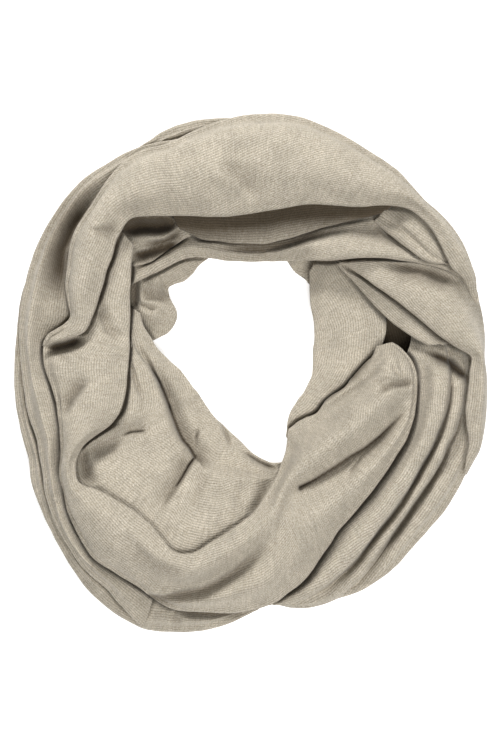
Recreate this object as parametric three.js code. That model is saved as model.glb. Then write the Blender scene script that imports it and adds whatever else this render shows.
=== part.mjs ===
// Infinity scarf of fine knit, lying wound in two loops on a flat surface.
// Millimetres, +Z up, the ring lies in the XY plane and rests on z = 0.
// Every stretch of cloth that shows is one lofted wall. Its table has a row for each
// section, cut by a plane through the ring's axis at an angle from +X, and each fold
// line has a radius from the axis and a height above the surface.

import * as THREE from 'three';

// Driving sizes
const CLOTH_WALL = 2.2;
const THINNEST_WALL = 1.2;
const LIP_ROLL = 4.5;
const HOLE_ROLL = 5;
const TIP_ROLL_SHARE = 0.3;
const LAYER_GAP = 0.3;
const WIDEST_STEP = 8;
const RING_OVERREACH = 1.15;
// Where the ring's axis stands, so that the scarf's box is centred on the origin
const AXIS_PLACE = { x: 0.1, y: 0.36 };
const YARN_COLOUR = 0xbdb2a0;
const YARN_ROUGHNESS = 0.95;

// Top stretch: the broad band across the ring's top, and the roll it ends in at left
const TOP_STRETCH = {
  columns: 'angle rim rimZ shoulder shoulderZ crest crestZ lip lipZ',
  rows: [
    [17.5, 189, 40, 188.2, 43, 186.8, 43.5, 183.5, 41],
    [20, 190, 45, 188.7, 49, 186.5, 50, 182, 47],
    [24, 192, 45, 190, 54, 187, 58, 181, 53],
    [28, 193.5, 44, 191, 58, 186, 63, 176, 57],
    [34, 195, 44, 192.5, 60, 187.5, 67, 178, 60],
    [40, 194, 44, 191.5, 62, 187.5, 70, 179.5, 62],
    [45, 192.5, 44, 190, 63, 186, 71, 178, 63],
    [50, 194, 44, 190, 64, 183, 73, 170, 63],
    [55, 196, 44, 190, 65, 178, 74, 158, 63],
    [60, 196.5, 44, 189, 66, 174, 75, 150, 62],
    [70, 200, 44, 191, 66, 172, 76, 140, 61],
    [80, 204, 44, 194, 66, 170, 76, 129.5, 61],
    [90, 202, 44, 192, 66, 168, 76, 124, 60],
    [97, 198.5, 46, 189, 66, 165, 76, 123.2, 60],
    [103, 194.5, 48, 186, 66, 164, 76, 125, 60],
    [110, 191, 50, 184, 66, 164, 76, 130, 60],
    [116, 194, 48, 186, 65, 166, 75.5, 136, 60],
    [122, 192, 50, 184, 64, 168, 75, 144, 60],
    [128, 186, 52, 180, 64, 169, 72, 151.5, 60],
    [134, 180, 50, 176, 62, 166, 71, 147, 59],
    [140, 177, 49, 171, 61, 160, 70, 140, 58],
    [144.4, 172.5, 48, 167, 59, 156, 69, 137, 58],
    [149, 166, 47, 161, 58, 152, 68, 133, 57],
    [155.5, 158, 49, 154, 59, 147, 67, 130.5, 57],
    [159, 152, 53, 149, 59.5, 144, 66, 130, 57.5],
    [162.4, 147, 55, 145.5, 59.5, 141, 64, 130.5, 58],
    [165, 150, 55.5, 147, 60, 142, 63, 132, 58],
    [167, 155, 56, 151, 59.5, 146, 62, 136, 58],
    [169, 160.5, 54, 157, 57.5, 153, 59.5, 144, 57.5],
    [171, 162.5, 53.5, 161, 55.5, 159, 56.5, 155, 56],
    [172.2, 163, 52.5, 162, 53.5, 161, 54, 159.5, 53.5],
  ],
  rimRoll: 5,
  lipRoll: LIP_ROLL,
};

// Fold under the top stretch, in its shade
const UNDER_TOP_FOLD = {
  columns: 'angle rim rimZ crest crestZ lip lipZ',
  rows: [
    [50, 178, 55, 170, 56, 163, 52],
    [53, 172, 55, 161, 56, 152, 51],
    [57, 164, 54, 151, 55.5, 141.5, 50],
    [62, 157, 53, 140, 54.5, 130, 49],
    [68, 149, 53, 128, 54, 118, 47],
    [75, 142, 52, 119, 53.5, 108.7, 45],
    [85, 134, 51.5, 112.5, 52.5, 101.5, 43],
    [95, 132, 51.5, 113, 52, 102, 42.5],
    [105, 136, 51.5, 118, 52, 107.5, 43],
    [110, 140, 51, 122, 51.5, 112, 43.5],
    [114, 142, 50, 131, 50.5, 121, 45],
    [116, 142.5, 49.7, 134, 50, 125.5, 46.5],
  ],
  lipRoll: LIP_ROLL,
};

// Two small folds that come out from under the top stretch at right
const TOP_RIGHT_FOLDS = {
  columns: 'angle rim rimZ upper upperZ groove grooveZ lower lowerZ lip lipZ',
  rows: [
    [29, 186.5, 50, 182.5, 51.5, 179.5, 51, 178, 51.5, 175.5, 49.5],
    [31, 187, 52, 177.5, 54.5, 172.5, 53, 170.5, 53.5, 167, 51],
    [34, 187, 53, 173, 55.5, 167.5, 52.5, 165, 53, 160.5, 50.5],
    [38, 187, 54, 172, 56, 165.5, 51, 162, 53, 157, 49],
    [43, 186, 55, 170, 57, 163.5, 51, 159, 53, 154, 49],
    [48, 180, 51, 168, 49, 161.5, 46.5, 157, 47.5, 152.5, 45],
    [51, 175, 46.5, 166, 45.5, 160.5, 44.5, 157.5, 45, 153, 43.5],
  ],
  lipRoll: 3.5,
};

// Band that makes the top edge of the hole and sweeps out to the right
const HOLE_TOP_BAND = {
  columns: 'angle rim rimZ foot footZ crest crestZ lip lipZ',
  rows: [
    [20, 186.8, 39, 186.2, 40.5, 185.7, 41, 184.5, 40],
    [22.1, 187, 40, 186, 42.5, 185, 43.5, 182.8, 42],
    [24, 186.5, 41, 185, 44, 183.5, 45.5, 180.5, 43.5],
    [26.2, 185, 41.5, 182.5, 44.5, 180.5, 47, 177, 45],
    [28.3, 182, 40, 179, 43, 176.3, 46, 172.5, 44.8],
    [30.5, 177, 39.5, 172.5, 42.5, 169.5, 45, 166, 44],
    [33.4, 170, 39.5, 164.5, 41.5, 161, 44.8, 157.5, 43.8],
    [37, 167, 40.5, 159, 43, 153.5, 49.5, 146.5, 47.3],
    [40, 166, 40, 157, 43, 149, 52.5, 139.5, 48.8],
    [45, 163, 39.5, 154.5, 42, 141.5, 53.5, 128, 48.8],
    [50, 161, 38, 152, 40, 133, 51.5, 117, 46],
    [55, 152, 40, 143, 43, 123, 50, 108, 43],
    [60, 143, 41, 134, 43, 117, 47, 102.5, 38],
    [65, 133, 40, 124, 42, 111, 44, 98, 33],
    [70, 125, 38, 115, 40, 105, 41, 94, 28],
    [80, 114, 36, 104, 37, 98, 36, 90, 23],
    [90, 111, 36, 101, 36, 95.5, 34, 88.5, 21],
    [100, 114, 35, 104, 36, 98, 34.5, 90, 21],
    [110, 122, 31.5, 112, 34, 104, 35.5, 96.5, 24],
    [115, 126, 30.5, 118, 31.5, 109, 37, 101, 28],
    [122, 126, 31.5, 117, 33, 111, 37, 104.5, 30],
    [130, 127, 31, 118, 32.5, 113, 36, 106.5, 30],
    [137, 130, 29.5, 122, 31, 117, 34, 110.5, 30.5],
    [143, 132, 31, 126, 32.5, 121, 34.5, 115.5, 31.5],
  ],
  lipRoll: LIP_ROLL,
};

// Roll that runs diagonally out from under the hole's top band and down the right side
const RIGHT_BAND = {
  columns: 'angle rim rimZ crest crestZ lip lipZ',
  rows: [
    [-25, 190, 19, 188.5, 24, 186, 23.5],
    [-22, 190.5, 19, 187, 29, 182, 28],
    [-18, 190.5, 18, 186, 34, 179.5, 31],
    [-13, 189.5, 17, 183, 39, 173.5, 33],
    [-8, 188, 18, 180, 43, 170.5, 35],
    [0, 186, 19, 180, 45, 171, 36],
    [4, 184.8, 20, 180, 47, 173, 39],
    [8, 186.3, 21, 176, 49, 160, 41],
    [12, 187.5, 22, 169, 51, 149, 42],
    [18, 188.5, 25, 162, 52, 138.5, 42],
    [24, 188, 33, 155, 52, 130.5, 42],
    [30, 179, 32, 147, 49.5, 124, 41],
    [36, 162, 34, 137, 47, 119, 39],
    [42, 147, 38, 129, 45, 115.5, 37],
    [48, 132, 37, 123, 40, 113, 34],
    [53, 124, 33, 119, 35, 112, 31],
  ],
  lipRoll: LIP_ROLL,
};

// Narrower roll under the right band
const RIGHT_UNDER_ROLL = {
  columns: 'angle rim rimZ crest crestZ lip lipZ',
  rows: [
    [9, 162, 34, 149, 36.5, 140.5, 33.5],
    [12, 158, 34, 142, 37, 132, 33],
    [16, 151, 34, 135, 36.5, 124, 31],
    [20, 145, 34, 128.5, 36, 118, 29],
    [25, 139, 34, 122, 35, 113.5, 28],
    [30, 134, 33.5, 118, 34, 110.5, 27],
    [36, 128, 32, 115, 32.5, 109, 26],
    [42, 124, 30, 114, 31, 108.5, 25],
    [48, 122, 27.5, 114.5, 28.5, 109, 24],
    [54, 121, 25.5, 116, 26.5, 111, 23.5],
  ],
  lipRoll: 3.5,
};

// Smooth panel that makes the right edge of the hole
const RIGHT_INNER_PANEL = {
  columns: 'angle rim rimZ crest crestZ lip lipZ',
  rows: [
    [-60, 69, 9.5, 63, 10, 56.5, 7],
    [-52, 65, 11, 57, 12, 48, 7],
    [-44, 63, 12, 54, 13.5, 44, 7.5],
    [-36, 65, 13, 53.5, 15, 42.5, 8],
    [-28, 70, 14, 54, 16, 42.2, 8],
    [-20, 72, 16, 56, 17, 44, 8.5],
    [-10, 81, 18, 62, 19, 46, 9],
    [0, 91, 19.5, 68, 21, 49, 9],
    [10, 104, 20, 76, 22, 50.5, 9],
    [20, 114, 20, 82, 23, 53, 9],
    [30, 119, 20, 86, 23, 58.5, 9],
    [40, 119, 19.5, 90, 23, 64.5, 9],
    [48, 119, 18.5, 95, 22.5, 71, 9.5],
    [54, 118, 17.5, 99, 21, 80.5, 10],
    [60, 114, 17, 104, 18, 93, 11],
  ],
  lipRoll: HOLE_ROLL,
};

// Swag stretch: the big roll round the bottom, from the left to the lobe at right
const SWAG_STRETCH = {
  columns: 'angle rim rimZ outer outerZ valley valleyZ crest crestZ lip lipZ',
  rows: [
    [132, 152, 47, 147, 48, 144, 48, 141, 48, 134.5, 44],
    [137, 150, 47.5, 143, 49, 139, 49.5, 135, 49, 126, 44],
    [143, 148, 48, 139, 49.5, 134, 50, 129, 49, 116.5, 43],
    [150, 145, 48, 135, 49.5, 129, 50, 122, 48.5, 107.5, 42],
    [157, 143, 45.5, 132, 48.5, 125, 49.5, 117, 48.5, 102, 41],
    [163, 146, 44, 134, 48, 126, 50, 116, 49.5, 98.5, 41],
    [168, 155, 44, 142, 48.5, 132, 51, 118, 52, 96, 42],
    [172, 163, 44, 152, 51, 140, 54, 120, 56, 95.3, 43],
    [177, 161, 44.5, 152, 54, 142, 56, 121, 59, 95, 44],
    [184, 155, 46, 148, 54, 142, 56, 122, 61, 95.8, 46],
    [190, 153, 46.5, 149, 54, 145, 56, 123, 62, 98.5, 47],
    [195, 154, 46, 151, 55, 148, 59, 130, 63, 103, 49],
    [200, 157, 45, 154, 55, 151, 60, 138, 64, 115, 51],
    [203.5, 161, 44, 158.5, 54, 156, 60, 150.5, 63.5, 141, 54],
    [208, 168, 43, 166, 52, 163.5, 59, 160, 62, 153, 55],
    [212, 171.5, 42, 170, 51, 168, 58, 163.5, 62.5, 156.5, 56],
    [217, 178, 41, 175, 51, 171, 58, 162, 64, 148, 56],
    [223, 183, 40, 179, 50, 173, 58, 158, 65, 142, 56],
    [230, 188.5, 39, 184, 49, 177, 57, 157, 65, 138.7, 56],
    [236, 187.5, 38, 183, 47, 175, 55, 156, 65, 139.5, 56],
    [242, 188.2, 36, 184, 45, 175, 52, 158, 65, 145, 56],
    [247, 191.5, 34, 187.5, 43, 180, 45, 161, 64, 150, 57],
    [252, 193.5, 33, 187, 43.5, 178, 42, 160, 63, 146, 57],
    [257, 191.5, 32, 182, 45, 171, 42, 150, 62, 133, 55],
    [262, 189, 31, 176, 47, 161, 43.5, 139, 61, 122.5, 53],
    [267, 186.8, 30, 170, 49, 152, 45.5, 130, 60, 114, 51],
    [272, 184, 28, 163, 50, 143, 48, 122, 58.5, 106, 48],
    [276, 180.5, 28, 157, 51, 134, 51, 114, 57, 97.5, 45],
    [280, 174, 30, 148, 52, 124, 52.5, 107, 56, 90, 41],
    [285, 166.5, 32, 137, 53, 104, 51, 95, 54, 82, 36],
    [290, 156, 34, 127, 54, 99, 47, 88, 53, 73.5, 27],
    [295, 147, 36, 122, 54, 99, 45, 84, 53, 66, 22],
    [300, 140, 37, 119, 53, 100.5, 44, 83, 54, 58.5, 18],
    [306, 136.5, 38, 118, 52.5, 102, 43, 81, 54.5, 52.5, 17],
    [313, 133.3, 39, 118, 51.5, 104.5, 42.5, 81, 55, 52.5, 18],
    [321, 131.3, 39, 119, 50.5, 108, 42.5, 83, 56, 55, 20],
    [330, 131, 38.5, 121.5, 48.5, 113, 42.5, 88, 57, 60.5, 22],
    [338, 132.5, 37.5, 125, 46, 118.5, 42, 94, 57, 62, 24],
    [345, 132.5, 37, 127.5, 44, 123, 42, 100, 57, 66.5, 25],
    [352, 131.5, 36, 128, 43, 124, 45, 107, 56, 75, 27],
    [359, 131.2, 35, 127.5, 42, 123, 46, 110, 53, 81.5, 28],
    [364, 128.5, 34, 125, 40, 120, 44, 110, 49, 88, 28],
    [369, 121.5, 32, 118, 37, 114, 39.5, 108, 41, 97, 28],
    [372.5, 114, 27.5, 112, 29.5, 110, 30.5, 107, 30, 101, 27],
  ],
  rimRoll: 4,
  lipRoll: LIP_ROLL,
};

// Right stretch: three pleats side by side round the lower right
const RIGHT_STRETCH = {
  columns: 'angle rim rimZ fifth fifthZ grooveA grooveAZ fourth fourthZ grooveB grooveBZ'
    + ' third thirdZ foot footZ tuck tuckZ',
  rows: [
    [273.8, 182.3, 10, 180.5, 15, 179.5, 17, 178.5, 18.5, 177, 19.5, 173, 20.5, 169, 20, 163, 19.5],
    [277, 184, 11, 183, 17, 182, 19.5, 181, 21, 179.5, 22, 176, 24, 172, 23, 163, 22],
    [280, 187.3, 12, 186.3, 17, 185.5, 20, 184.5, 22.5, 183, 23.5, 178, 27, 173, 24.5, 161, 23],
    [285, 190.2, 12, 189, 17, 187.8, 20, 186, 23, 181.5, 24, 174, 32, 168, 26, 154, 24],
    [291, 189.8, 12, 189, 17, 188.3, 20, 184.5, 26, 178.5, 25, 166, 36, 156, 28.5, 143, 26],
    [297, 192, 12, 189.3, 20, 185, 20, 180, 29, 173, 27, 158, 39, 146, 30.5, 133, 27],
    [304, 191.3, 12, 186, 23, 177.5, 21, 172, 32, 165, 28.5, 152, 41.5, 139, 32, 126, 28],
    [312, 188, 12, 180, 26, 170, 22, 165, 34, 159, 29.5, 147, 43, 135.5, 33, 122, 29],
    [321, 186.8, 12, 177.5, 29, 165.3, 24, 160.5, 35.5, 155, 30.5, 144, 44.5, 133.5, 33.5, 120, 29],
    [330, 187.5, 12, 177.5, 30, 165, 25, 160, 36.5, 154, 31, 143, 45, 133, 33, 120, 28.5],
    [338, 187, 10.5, 178.5, 23, 166.7, 24, 161.5, 36.5, 155.7, 31, 144.5, 45, 134.5, 32, 120, 28],
    [345, 185, 9, 178, 20, 168.2, 23, 163, 36, 157, 31, 145, 45, 134.5, 31.5, 120, 27],
    [353, 183, 9, 177, 19, 169.7, 23, 164, 34.5, 158.5, 30, 146, 45, 134, 30.5, 120, 26],
    [361, 182, 9, 176.5, 18, 170, 22, 164.5, 30, 158.5, 27, 146.5, 43, 134, 29.5, 121, 25],
    [366, 181, 9, 176, 17, 169, 19.5, 164, 24, 157, 23, 147, 34, 134, 28, 123, 24],
    [370, 179.5, 9, 174.5, 15, 168.5, 17, 163.5, 20, 157, 20, 147.5, 25, 136, 24, 127, 22],
    [373, 180, 9, 173, 14, 168, 15, 163, 17, 157, 18, 147.5, 20, 138, 20, 130, 19],
    [379.5, 184, 9, 176, 14, 171, 15, 166, 15.5, 160, 16, 151, 17, 143, 18, 137, 18],
  ],
  rimRoll: 6,
};

// Inner left stretch: the bowl inside the swag and the apron along the hole
const INNER_LEFT_STRETCH = {
  columns: 'angle rim rimZ bowl bowlZ brow browZ groove grooveZ apron apronZ lip lipZ',
  rows: [
    [151, 116, 31, 112, 33, 110, 33, 107, 32, 104, 32, 98, 28],
    [155, 115, 33, 109, 34, 105, 34, 101, 32, 98, 31, 92, 26],
    [160, 113, 33, 104, 34, 101, 34, 97.5, 31, 92, 30, 82, 22],
    [165, 110, 33, 100, 35, 98, 34.5, 93.5, 30, 86, 29, 74, 17],
    [170, 108, 34, 97, 35.5, 93, 34, 87, 27, 80, 27, 64.5, 13],
    [177, 107, 35, 92, 36, 84, 32, 78, 25, 70, 24, 54.5, 10],
    [185, 108, 36, 92, 37, 80, 32, 72, 23, 64, 22, 49, 9],
    [193, 112, 38, 92, 38, 79, 31, 70, 22, 60, 21, 45.7, 9],
    [200, 124, 40, 96, 39, 80, 31, 69, 22, 58, 20, 43.2, 9],
    [205, 148, 42, 106, 40, 82, 32, 69, 22, 57, 20, 42.5, 9],
    [211, 164, 46, 114, 42, 86, 33, 70.3, 22.5, 57, 20, 42, 9],
    [218, 155, 48, 116, 44, 88, 34, 72.6, 23, 58, 20, 42, 9],
    [226, 149, 48.5, 116, 45, 90, 34, 75, 24, 59, 20, 43, 9],
    [233, 147, 48.5, 114, 43, 92, 34, 77, 26, 60, 21, 44, 9],
    [240, 150, 48.5, 116, 45, 93, 37, 78, 30, 62, 22, 45, 9],
    [248, 158, 49, 118, 46, 94, 38, 78, 31, 63, 22, 47, 9],
    [255, 148, 48.5, 112, 45, 92, 37, 78, 30, 64, 22, 49.5, 9],
    [262, 132, 46.5, 105, 42, 90, 36, 78, 30, 66, 22, 53.5, 9.5],
    [270, 119, 42, 98, 37, 88, 33, 79, 28, 71, 21.5, 61, 10],
    [278, 104, 35, 92, 31, 86, 28, 81, 25, 76, 20, 68, 10],
    [285, 92, 27, 87, 25, 84, 23, 82, 21, 79, 18, 72, 10],
    [291, 85, 17, 83, 17, 82, 17, 81, 16, 79, 15, 74, 10],
  ],
  lipRoll: HOLE_ROLL,
};

// Corner folds: two folds in the dark corner between the top band and the swag
const CORNER_FOLDS = {
  columns: 'angle rim rimZ upper upperZ groove grooveZ lower lowerZ lip lipZ',
  rows: [
    [113, 140, 37, 131, 37.5, 126.5, 36.5, 123, 37, 117.5, 35],
    [115.5, 145, 38.5, 131, 39.5, 126.5, 37.5, 122, 38.5, 117.2, 35.5],
    [118.5, 150, 42, 129.5, 45.5, 125, 40.5, 120.5, 42, 116.6, 38],
    [122, 154, 43.5, 128.5, 47, 123.8, 41, 119.5, 42, 116.3, 38],
    [126, 158, 43.5, 131, 46.5, 127, 41, 120, 42, 116, 38],
    [130, 158, 41, 137, 41.5, 132.5, 38.5, 121, 41, 116.2, 37],
    [134, 152, 37, 142, 37, 136, 36, 124, 38, 119, 35.5],
    [137, 145, 35.5, 140, 35.5, 136, 35, 129, 35.5, 123, 34],
  ],
  lipRoll: 3.2,
};

// Lobe along the left top edge of the hole
const CORNER_LOBE = {
  columns: 'angle rim rimZ crest crestZ lip lipZ',
  rows: [
    [110, 110, 17, 104, 18, 97, 13],
    [115, 113, 19, 104, 21.5, 94.5, 13],
    [120, 115, 22, 103, 24.5, 90.5, 12],
    [125, 116, 24, 102, 26, 89.3, 12],
    [130, 117, 24, 104, 26, 92.3, 12],
    [133, 118, 24, 105, 25, 93.5, 12],
    [136, 119, 24, 101, 25, 87.5, 11.5],
    [139, 119, 25, 96, 26, 77, 11],
    [143, 119, 26, 93, 27, 72.3, 10],
    [149, 112, 24, 92, 27, 71.2, 10],
    [153, 106, 20, 90, 22, 72, 10],
    [157, 100, 16.5, 88, 17.5, 75.5, 9.5],
    [161, 94, 13, 88, 13.5, 80.5, 9],
  ],
  lipRoll: HOLE_ROLL,
};

// Outer left stretch: the roll outside the swag
const OUTER_LEFT_STRETCH = {
  columns: 'angle rim rimZ crest crestZ foot footZ tuck tuckZ',
  rows: [
    [100, 190, 31.5, 186, 35, 181, 35, 175, 34],
    [108, 192.5, 29.5, 187.5, 34.5, 182, 34, 177, 33],
    [115, 197.5, 26, 191.5, 33, 186, 33, 180, 31],
    [120, 199.8, 25, 192.5, 36, 186, 35.5, 179, 33],
    [125, 200.5, 24.5, 193.5, 41, 186, 40, 177, 37],
    [130, 201.5, 25, 194, 45, 185, 42, 175, 39],
    [140, 199, 26, 190, 49, 180.5, 42, 168, 37],
    [150, 194.5, 27, 185, 50, 171, 41, 156, 35],
    [156, 191.5, 27.5, 181.5, 50, 167, 41, 150, 34],
    [162, 188.5, 28, 178.5, 50, 165.5, 41, 147, 34],
    [168, 185, 28.5, 176, 50, 166.5, 42, 152, 35],
    [173, 181.5, 29, 173.5, 50, 166, 42, 156, 36],
    [178, 179, 29, 171, 49.5, 163, 42, 153, 36],
    [184, 177.5, 29, 168, 49, 158.5, 42, 147, 37],
    [190, 177, 29, 165.5, 48, 155, 40, 145, 37],
    [197, 175, 29, 165, 47, 156.5, 39, 146, 36],
    [204, 179, 28, 171, 45, 163.5, 37.5, 153, 35],
    [212, 187.5, 27, 180, 43, 173, 36, 163, 34],
    [220, 195, 26, 188.5, 41, 182, 34.5, 172, 32.5],
    [228, 200, 25, 194, 39, 188.5, 33.5, 179, 31.5],
    [236, 202.5, 24, 196, 36, 189.5, 32, 179, 30],
    [240, 206, 21.5, 198.5, 31, 191, 29, 181, 27],
    [244, 211, 20.5, 202.5, 27, 193.5, 26.5, 184, 24.5],
    [246, 213.3, 21, 204.5, 26, 195, 25.5, 185, 24],
  ],
  rimRoll: 5,
};

// Back stretch: the lowest layer round the outside, from the right over the top to the bottom
const BACK_STRETCH = {
  columns: 'angle rim rimZ crest crestZ tuck tuckZ',
  rows: [
    [21, 186, 10, 179, 17, 168, 16],
    [30, 191, 11, 184, 22, 172, 20],
    [40, 191, 12, 184, 25, 171, 23],
    [50, 191.5, 12, 184, 26, 171, 24],
    [60, 194, 12, 187, 27, 173, 25],
    [70, 198, 12, 190, 28, 176, 26],
    [80, 201.5, 13, 194, 29, 179, 27],
    [90, 201, 13, 195, 27, 179, 23],
    [97, 202.7, 14, 197.5, 25, 180, 20],
    [104, 204, 14, 198.5, 24, 181, 20],
    [110, 203, 12, 197, 20.5, 180, 18],
    [114, 200.5, 11, 194, 17, 180, 15.5],
    [119, 198, 10, 191, 16, 178, 14.5],
    [130, 199, 9, 190, 17, 176, 15],
    [142, 196, 9.5, 187, 18, 172, 16],
    [152, 193, 10, 185.5, 20, 170, 18],
    [160, 191, 11, 184.5, 22, 169, 20],
    [170, 187, 11, 181, 23, 165, 20],
    [180, 186.5, 11, 180, 23, 162, 20],
    [190, 186, 11, 179.5, 23, 160, 20],
    [200, 187, 11, 180, 22.5, 160, 19],
    [208, 193.5, 11, 186, 22, 167, 19],
    [216, 199, 11, 192.5, 21, 176, 18],
    [224, 205, 10.5, 198, 20, 182, 17],
    [232, 212.5, 10, 204, 19, 186, 16],
    [239, 216.5, 8.5, 206, 16, 187, 14],
    [243.5, 216, 7.5, 206, 13, 187, 12.5],
    [247, 215.2, 8, 205, 16.7, 187, 15.7],
    [250, 214, 9, 205, 22, 184, 20],
    [255, 210.5, 10, 201, 24, 180, 22],
    [260, 205, 10, 196.5, 24, 177, 22],
    [265, 198, 9.5, 190.5, 22, 174, 20],
    [269, 191, 8.5, 184.5, 18, 170, 17],
    [272.8, 185, 8, 180, 13, 168, 12],
  ],
  rimRoll: 6.5,
};

// Hidden layers: one rounded solid under the stretches, with layered edges
const HIDDEN = {
  columns: 'angle inner outer',
  rows: [
    [0, 59, 176], [20, 63, 178], [40, 74, 181], [50, 81, 182], [58, 86, 184], [64, 86, 187],
    [72, 94, 190], [90, 93, 192], [104, 97, 193], [112, 105, 190], [124, 99, 189], [133, 104, 189],
    [140, 86, 186], [147, 81, 184], [155, 82, 181], [162, 90, 179], [170, 75, 177], [180, 62, 176],
    [190, 57, 176], [200, 53, 177], [220, 51, 190], [240, 54, 205], [250, 57, 203], [260, 61, 195],
    [268, 68, 183], [275, 74, 174], [282, 79, 176], [290, 81, 179], [298, 72, 181], [310, 58, 179],
    [330, 53, 178], [345, 55, 178],
  ],
  edgeShape: [
    { share: 0, inset: 4 },
    { share: 0.35, inset: 0 },
    { share: 0.75, inset: 0 },
  ],
  shoulderInset: 2.5,
  rings: 9,
  stations: 60,
  lowestTop: 1.5,
  highestTop: 58,
};

const RAD = Math.PI / 180;

// A table row's values by column name
function readTable(table) {
  const names = table.columns.split(' ');
  return table.rows.map((row) => Object.fromEntries(names.map((name, i) => [name, row[i]])));
}

// Slopes for a smooth line through the rows that never swings past them
function rowSlopes(x, y) {
  const slopes = new Array(x.length).fill(0);
  const chord = (i) => (y[i + 1] - y[i]) / (x[i + 1] - x[i]);
  for (let i = 1; i < x.length - 1; i++) {
    const before = chord(i - 1);
    const after = chord(i);
    if (before * after > 0) slopes[i] = (2 * before * after) / (before + after);
  }
  slopes[0] = chord(0);
  slopes[x.length - 1] = chord(x.length - 2);
  return slopes;
}

// Returns a function that gives one column's value at any angle of the table
function lineOf(rows, name) {
  const x = rows.map((row) => row.angle);
  const y = rows.map((row) => row[name]);
  const slopes = rowSlopes(x, y);
  return (angle) => {
    const at = Math.min(Math.max(angle, x[0]), x[x.length - 1]);
    let i = 0;
    while (i < x.length - 2 && at > x[i + 1]) i++;
    const width = x[i + 1] - x[i];
    const t = (at - x[i]) / width;
    const t2 = t * t;
    const t3 = t2 * t;
    return (2 * t3 - 3 * t2 + 1) * y[i] + (t3 - 2 * t2 + t) * width * slopes[i]
      + (3 * t2 - 2 * t3) * y[i + 1] + (t3 - t2) * width * slopes[i + 1];
  };
}

// The table's own angles, with more between rows that lie far apart
function stationsOf(rows) {
  const angles = [];
  rows.forEach((row, i) => {
    angles.push(row.angle);
    if (i === rows.length - 1) return;
    const span = rows[i + 1].angle - row.angle;
    const parts = Math.ceil(span / WIDEST_STEP);
    for (let k = 1; k < parts; k++) angles.push(row.angle + (span * k) / parts);
  });
  return angles;
}

// Points of a rolled edge, from the crest's side round the nose to the return under it.
// side is +1 where the cloth lies outside the edge and -1 where it lies inside it.
function rolledEdge(radius, height, roll, side) {
  return [
    [radius + side * roll * 0.8, height + roll * 0.92],
    [radius + side * roll * 0.15, height + roll * 0.5],
    [radius + side * roll * 0.02, height - roll * 0.15],
    [radius + side * roll * 0.45, height - roll * 0.8],
    [radius + side * roll * 1.3, height - roll],
  ];
}

// One section of a stretch: its folds from the rim to the lip, as radius and height
function sectionOf(table, lines, angle) {
  const names = table.columns.split(' ').slice(1).filter((name) => !name.endsWith('Z'));
  const folds = names.map((name) => [lines[name](angle), lines[`${name}Z`](angle)]);
  const width = folds[0][0] - folds[folds.length - 1][0];
  const points = [];
  folds.forEach(([radius, height], i) => {
    const atRim = i === 0 && table.rimRoll;
    const atLip = i === folds.length - 1 && table.lipRoll;
    if (atRim) {
      const roll = Math.min(table.rimRoll, width * TIP_ROLL_SHARE);
      points.push(...rolledEdge(radius, height, roll, -1).reverse());
    } else if (atLip) {
      const roll = Math.min(table.lipRoll, width * TIP_ROLL_SHARE);
      points.push(...rolledEdge(radius, height, roll, 1));
    } else {
      points.push([radius, height]);
    }
  });
  return points;
}

// Adds a point half-way along each wide span, on a smooth curve through its neighbours
function smoothSpans(points, spans) {
  const fine = [];
  points.forEach((point, i) => {
    fine.push(point);
    if (!spans.has(i)) return;
    const before = points[Math.max(i - 1, 0)];
    const after = points[i + 1];
    const last = points[Math.min(i + 2, points.length - 1)];
    const middle = [0, 1].map((k) => (
      (9 * (point[k] + after[k]) - before[k] - last[k]) / 16
    ));
    fine.push(middle);
  });
  return fine;
}

// Spans of a section that lie between its named folds, not round its rolled edges
function openSpans(table, count) {
  const first = table.rimRoll ? 4 : 0;
  const last = table.lipRoll ? count - 5 : count - 1;
  const spans = new Set();
  for (let i = first; i < last; i++) spans.add(i);
  return spans;
}

// Outer face of a stretch as a grid of points, a row for each station
function clothGrid(table) {
  const rows = readTable(table);
  const names = table.columns.split(' ').slice(1);
  const lines = Object.fromEntries(names.map((name) => [name, lineOf(rows, name)]));
  return stationsOf(rows).map((angle) => {
    const points = sectionOf(table, lines, angle);
    const section = smoothSpans(points, openSpans(table, points.length));
    return section.map(([radius, height]) => new THREE.Vector3(
      radius * Math.cos(angle * RAD), radius * Math.sin(angle * RAD), height,
    ));
  });
}

// Wall of a station: thinner where the stretch narrows to a tip
function wallAt(grid, i) {
  const row = grid[i];
  const width = row[0].distanceTo(row[row.length - 1]);
  return Math.min(Math.max(width * TIP_ROLL_SHARE * 0.6, THINNEST_WALL), CLOTH_WALL);
}

// The grid moved inwards by the cloth's wall
function innerGrid(grid) {
  const along = new THREE.Vector3();
  const across = new THREE.Vector3();
  const normal = new THREE.Vector3();
  return grid.map((row, i) => row.map((point, j) => {
    along.subVectors(
      grid[Math.min(i + 1, grid.length - 1)][j], grid[Math.max(i - 1, 0)][j],
    );
    across.subVectors(row[Math.min(j + 1, row.length - 1)], row[Math.max(j - 1, 0)]);
    normal.crossVectors(along, across).normalize();
    return point.clone().addScaledVector(normal, -wallAt(grid, i));
  }));
}

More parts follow.
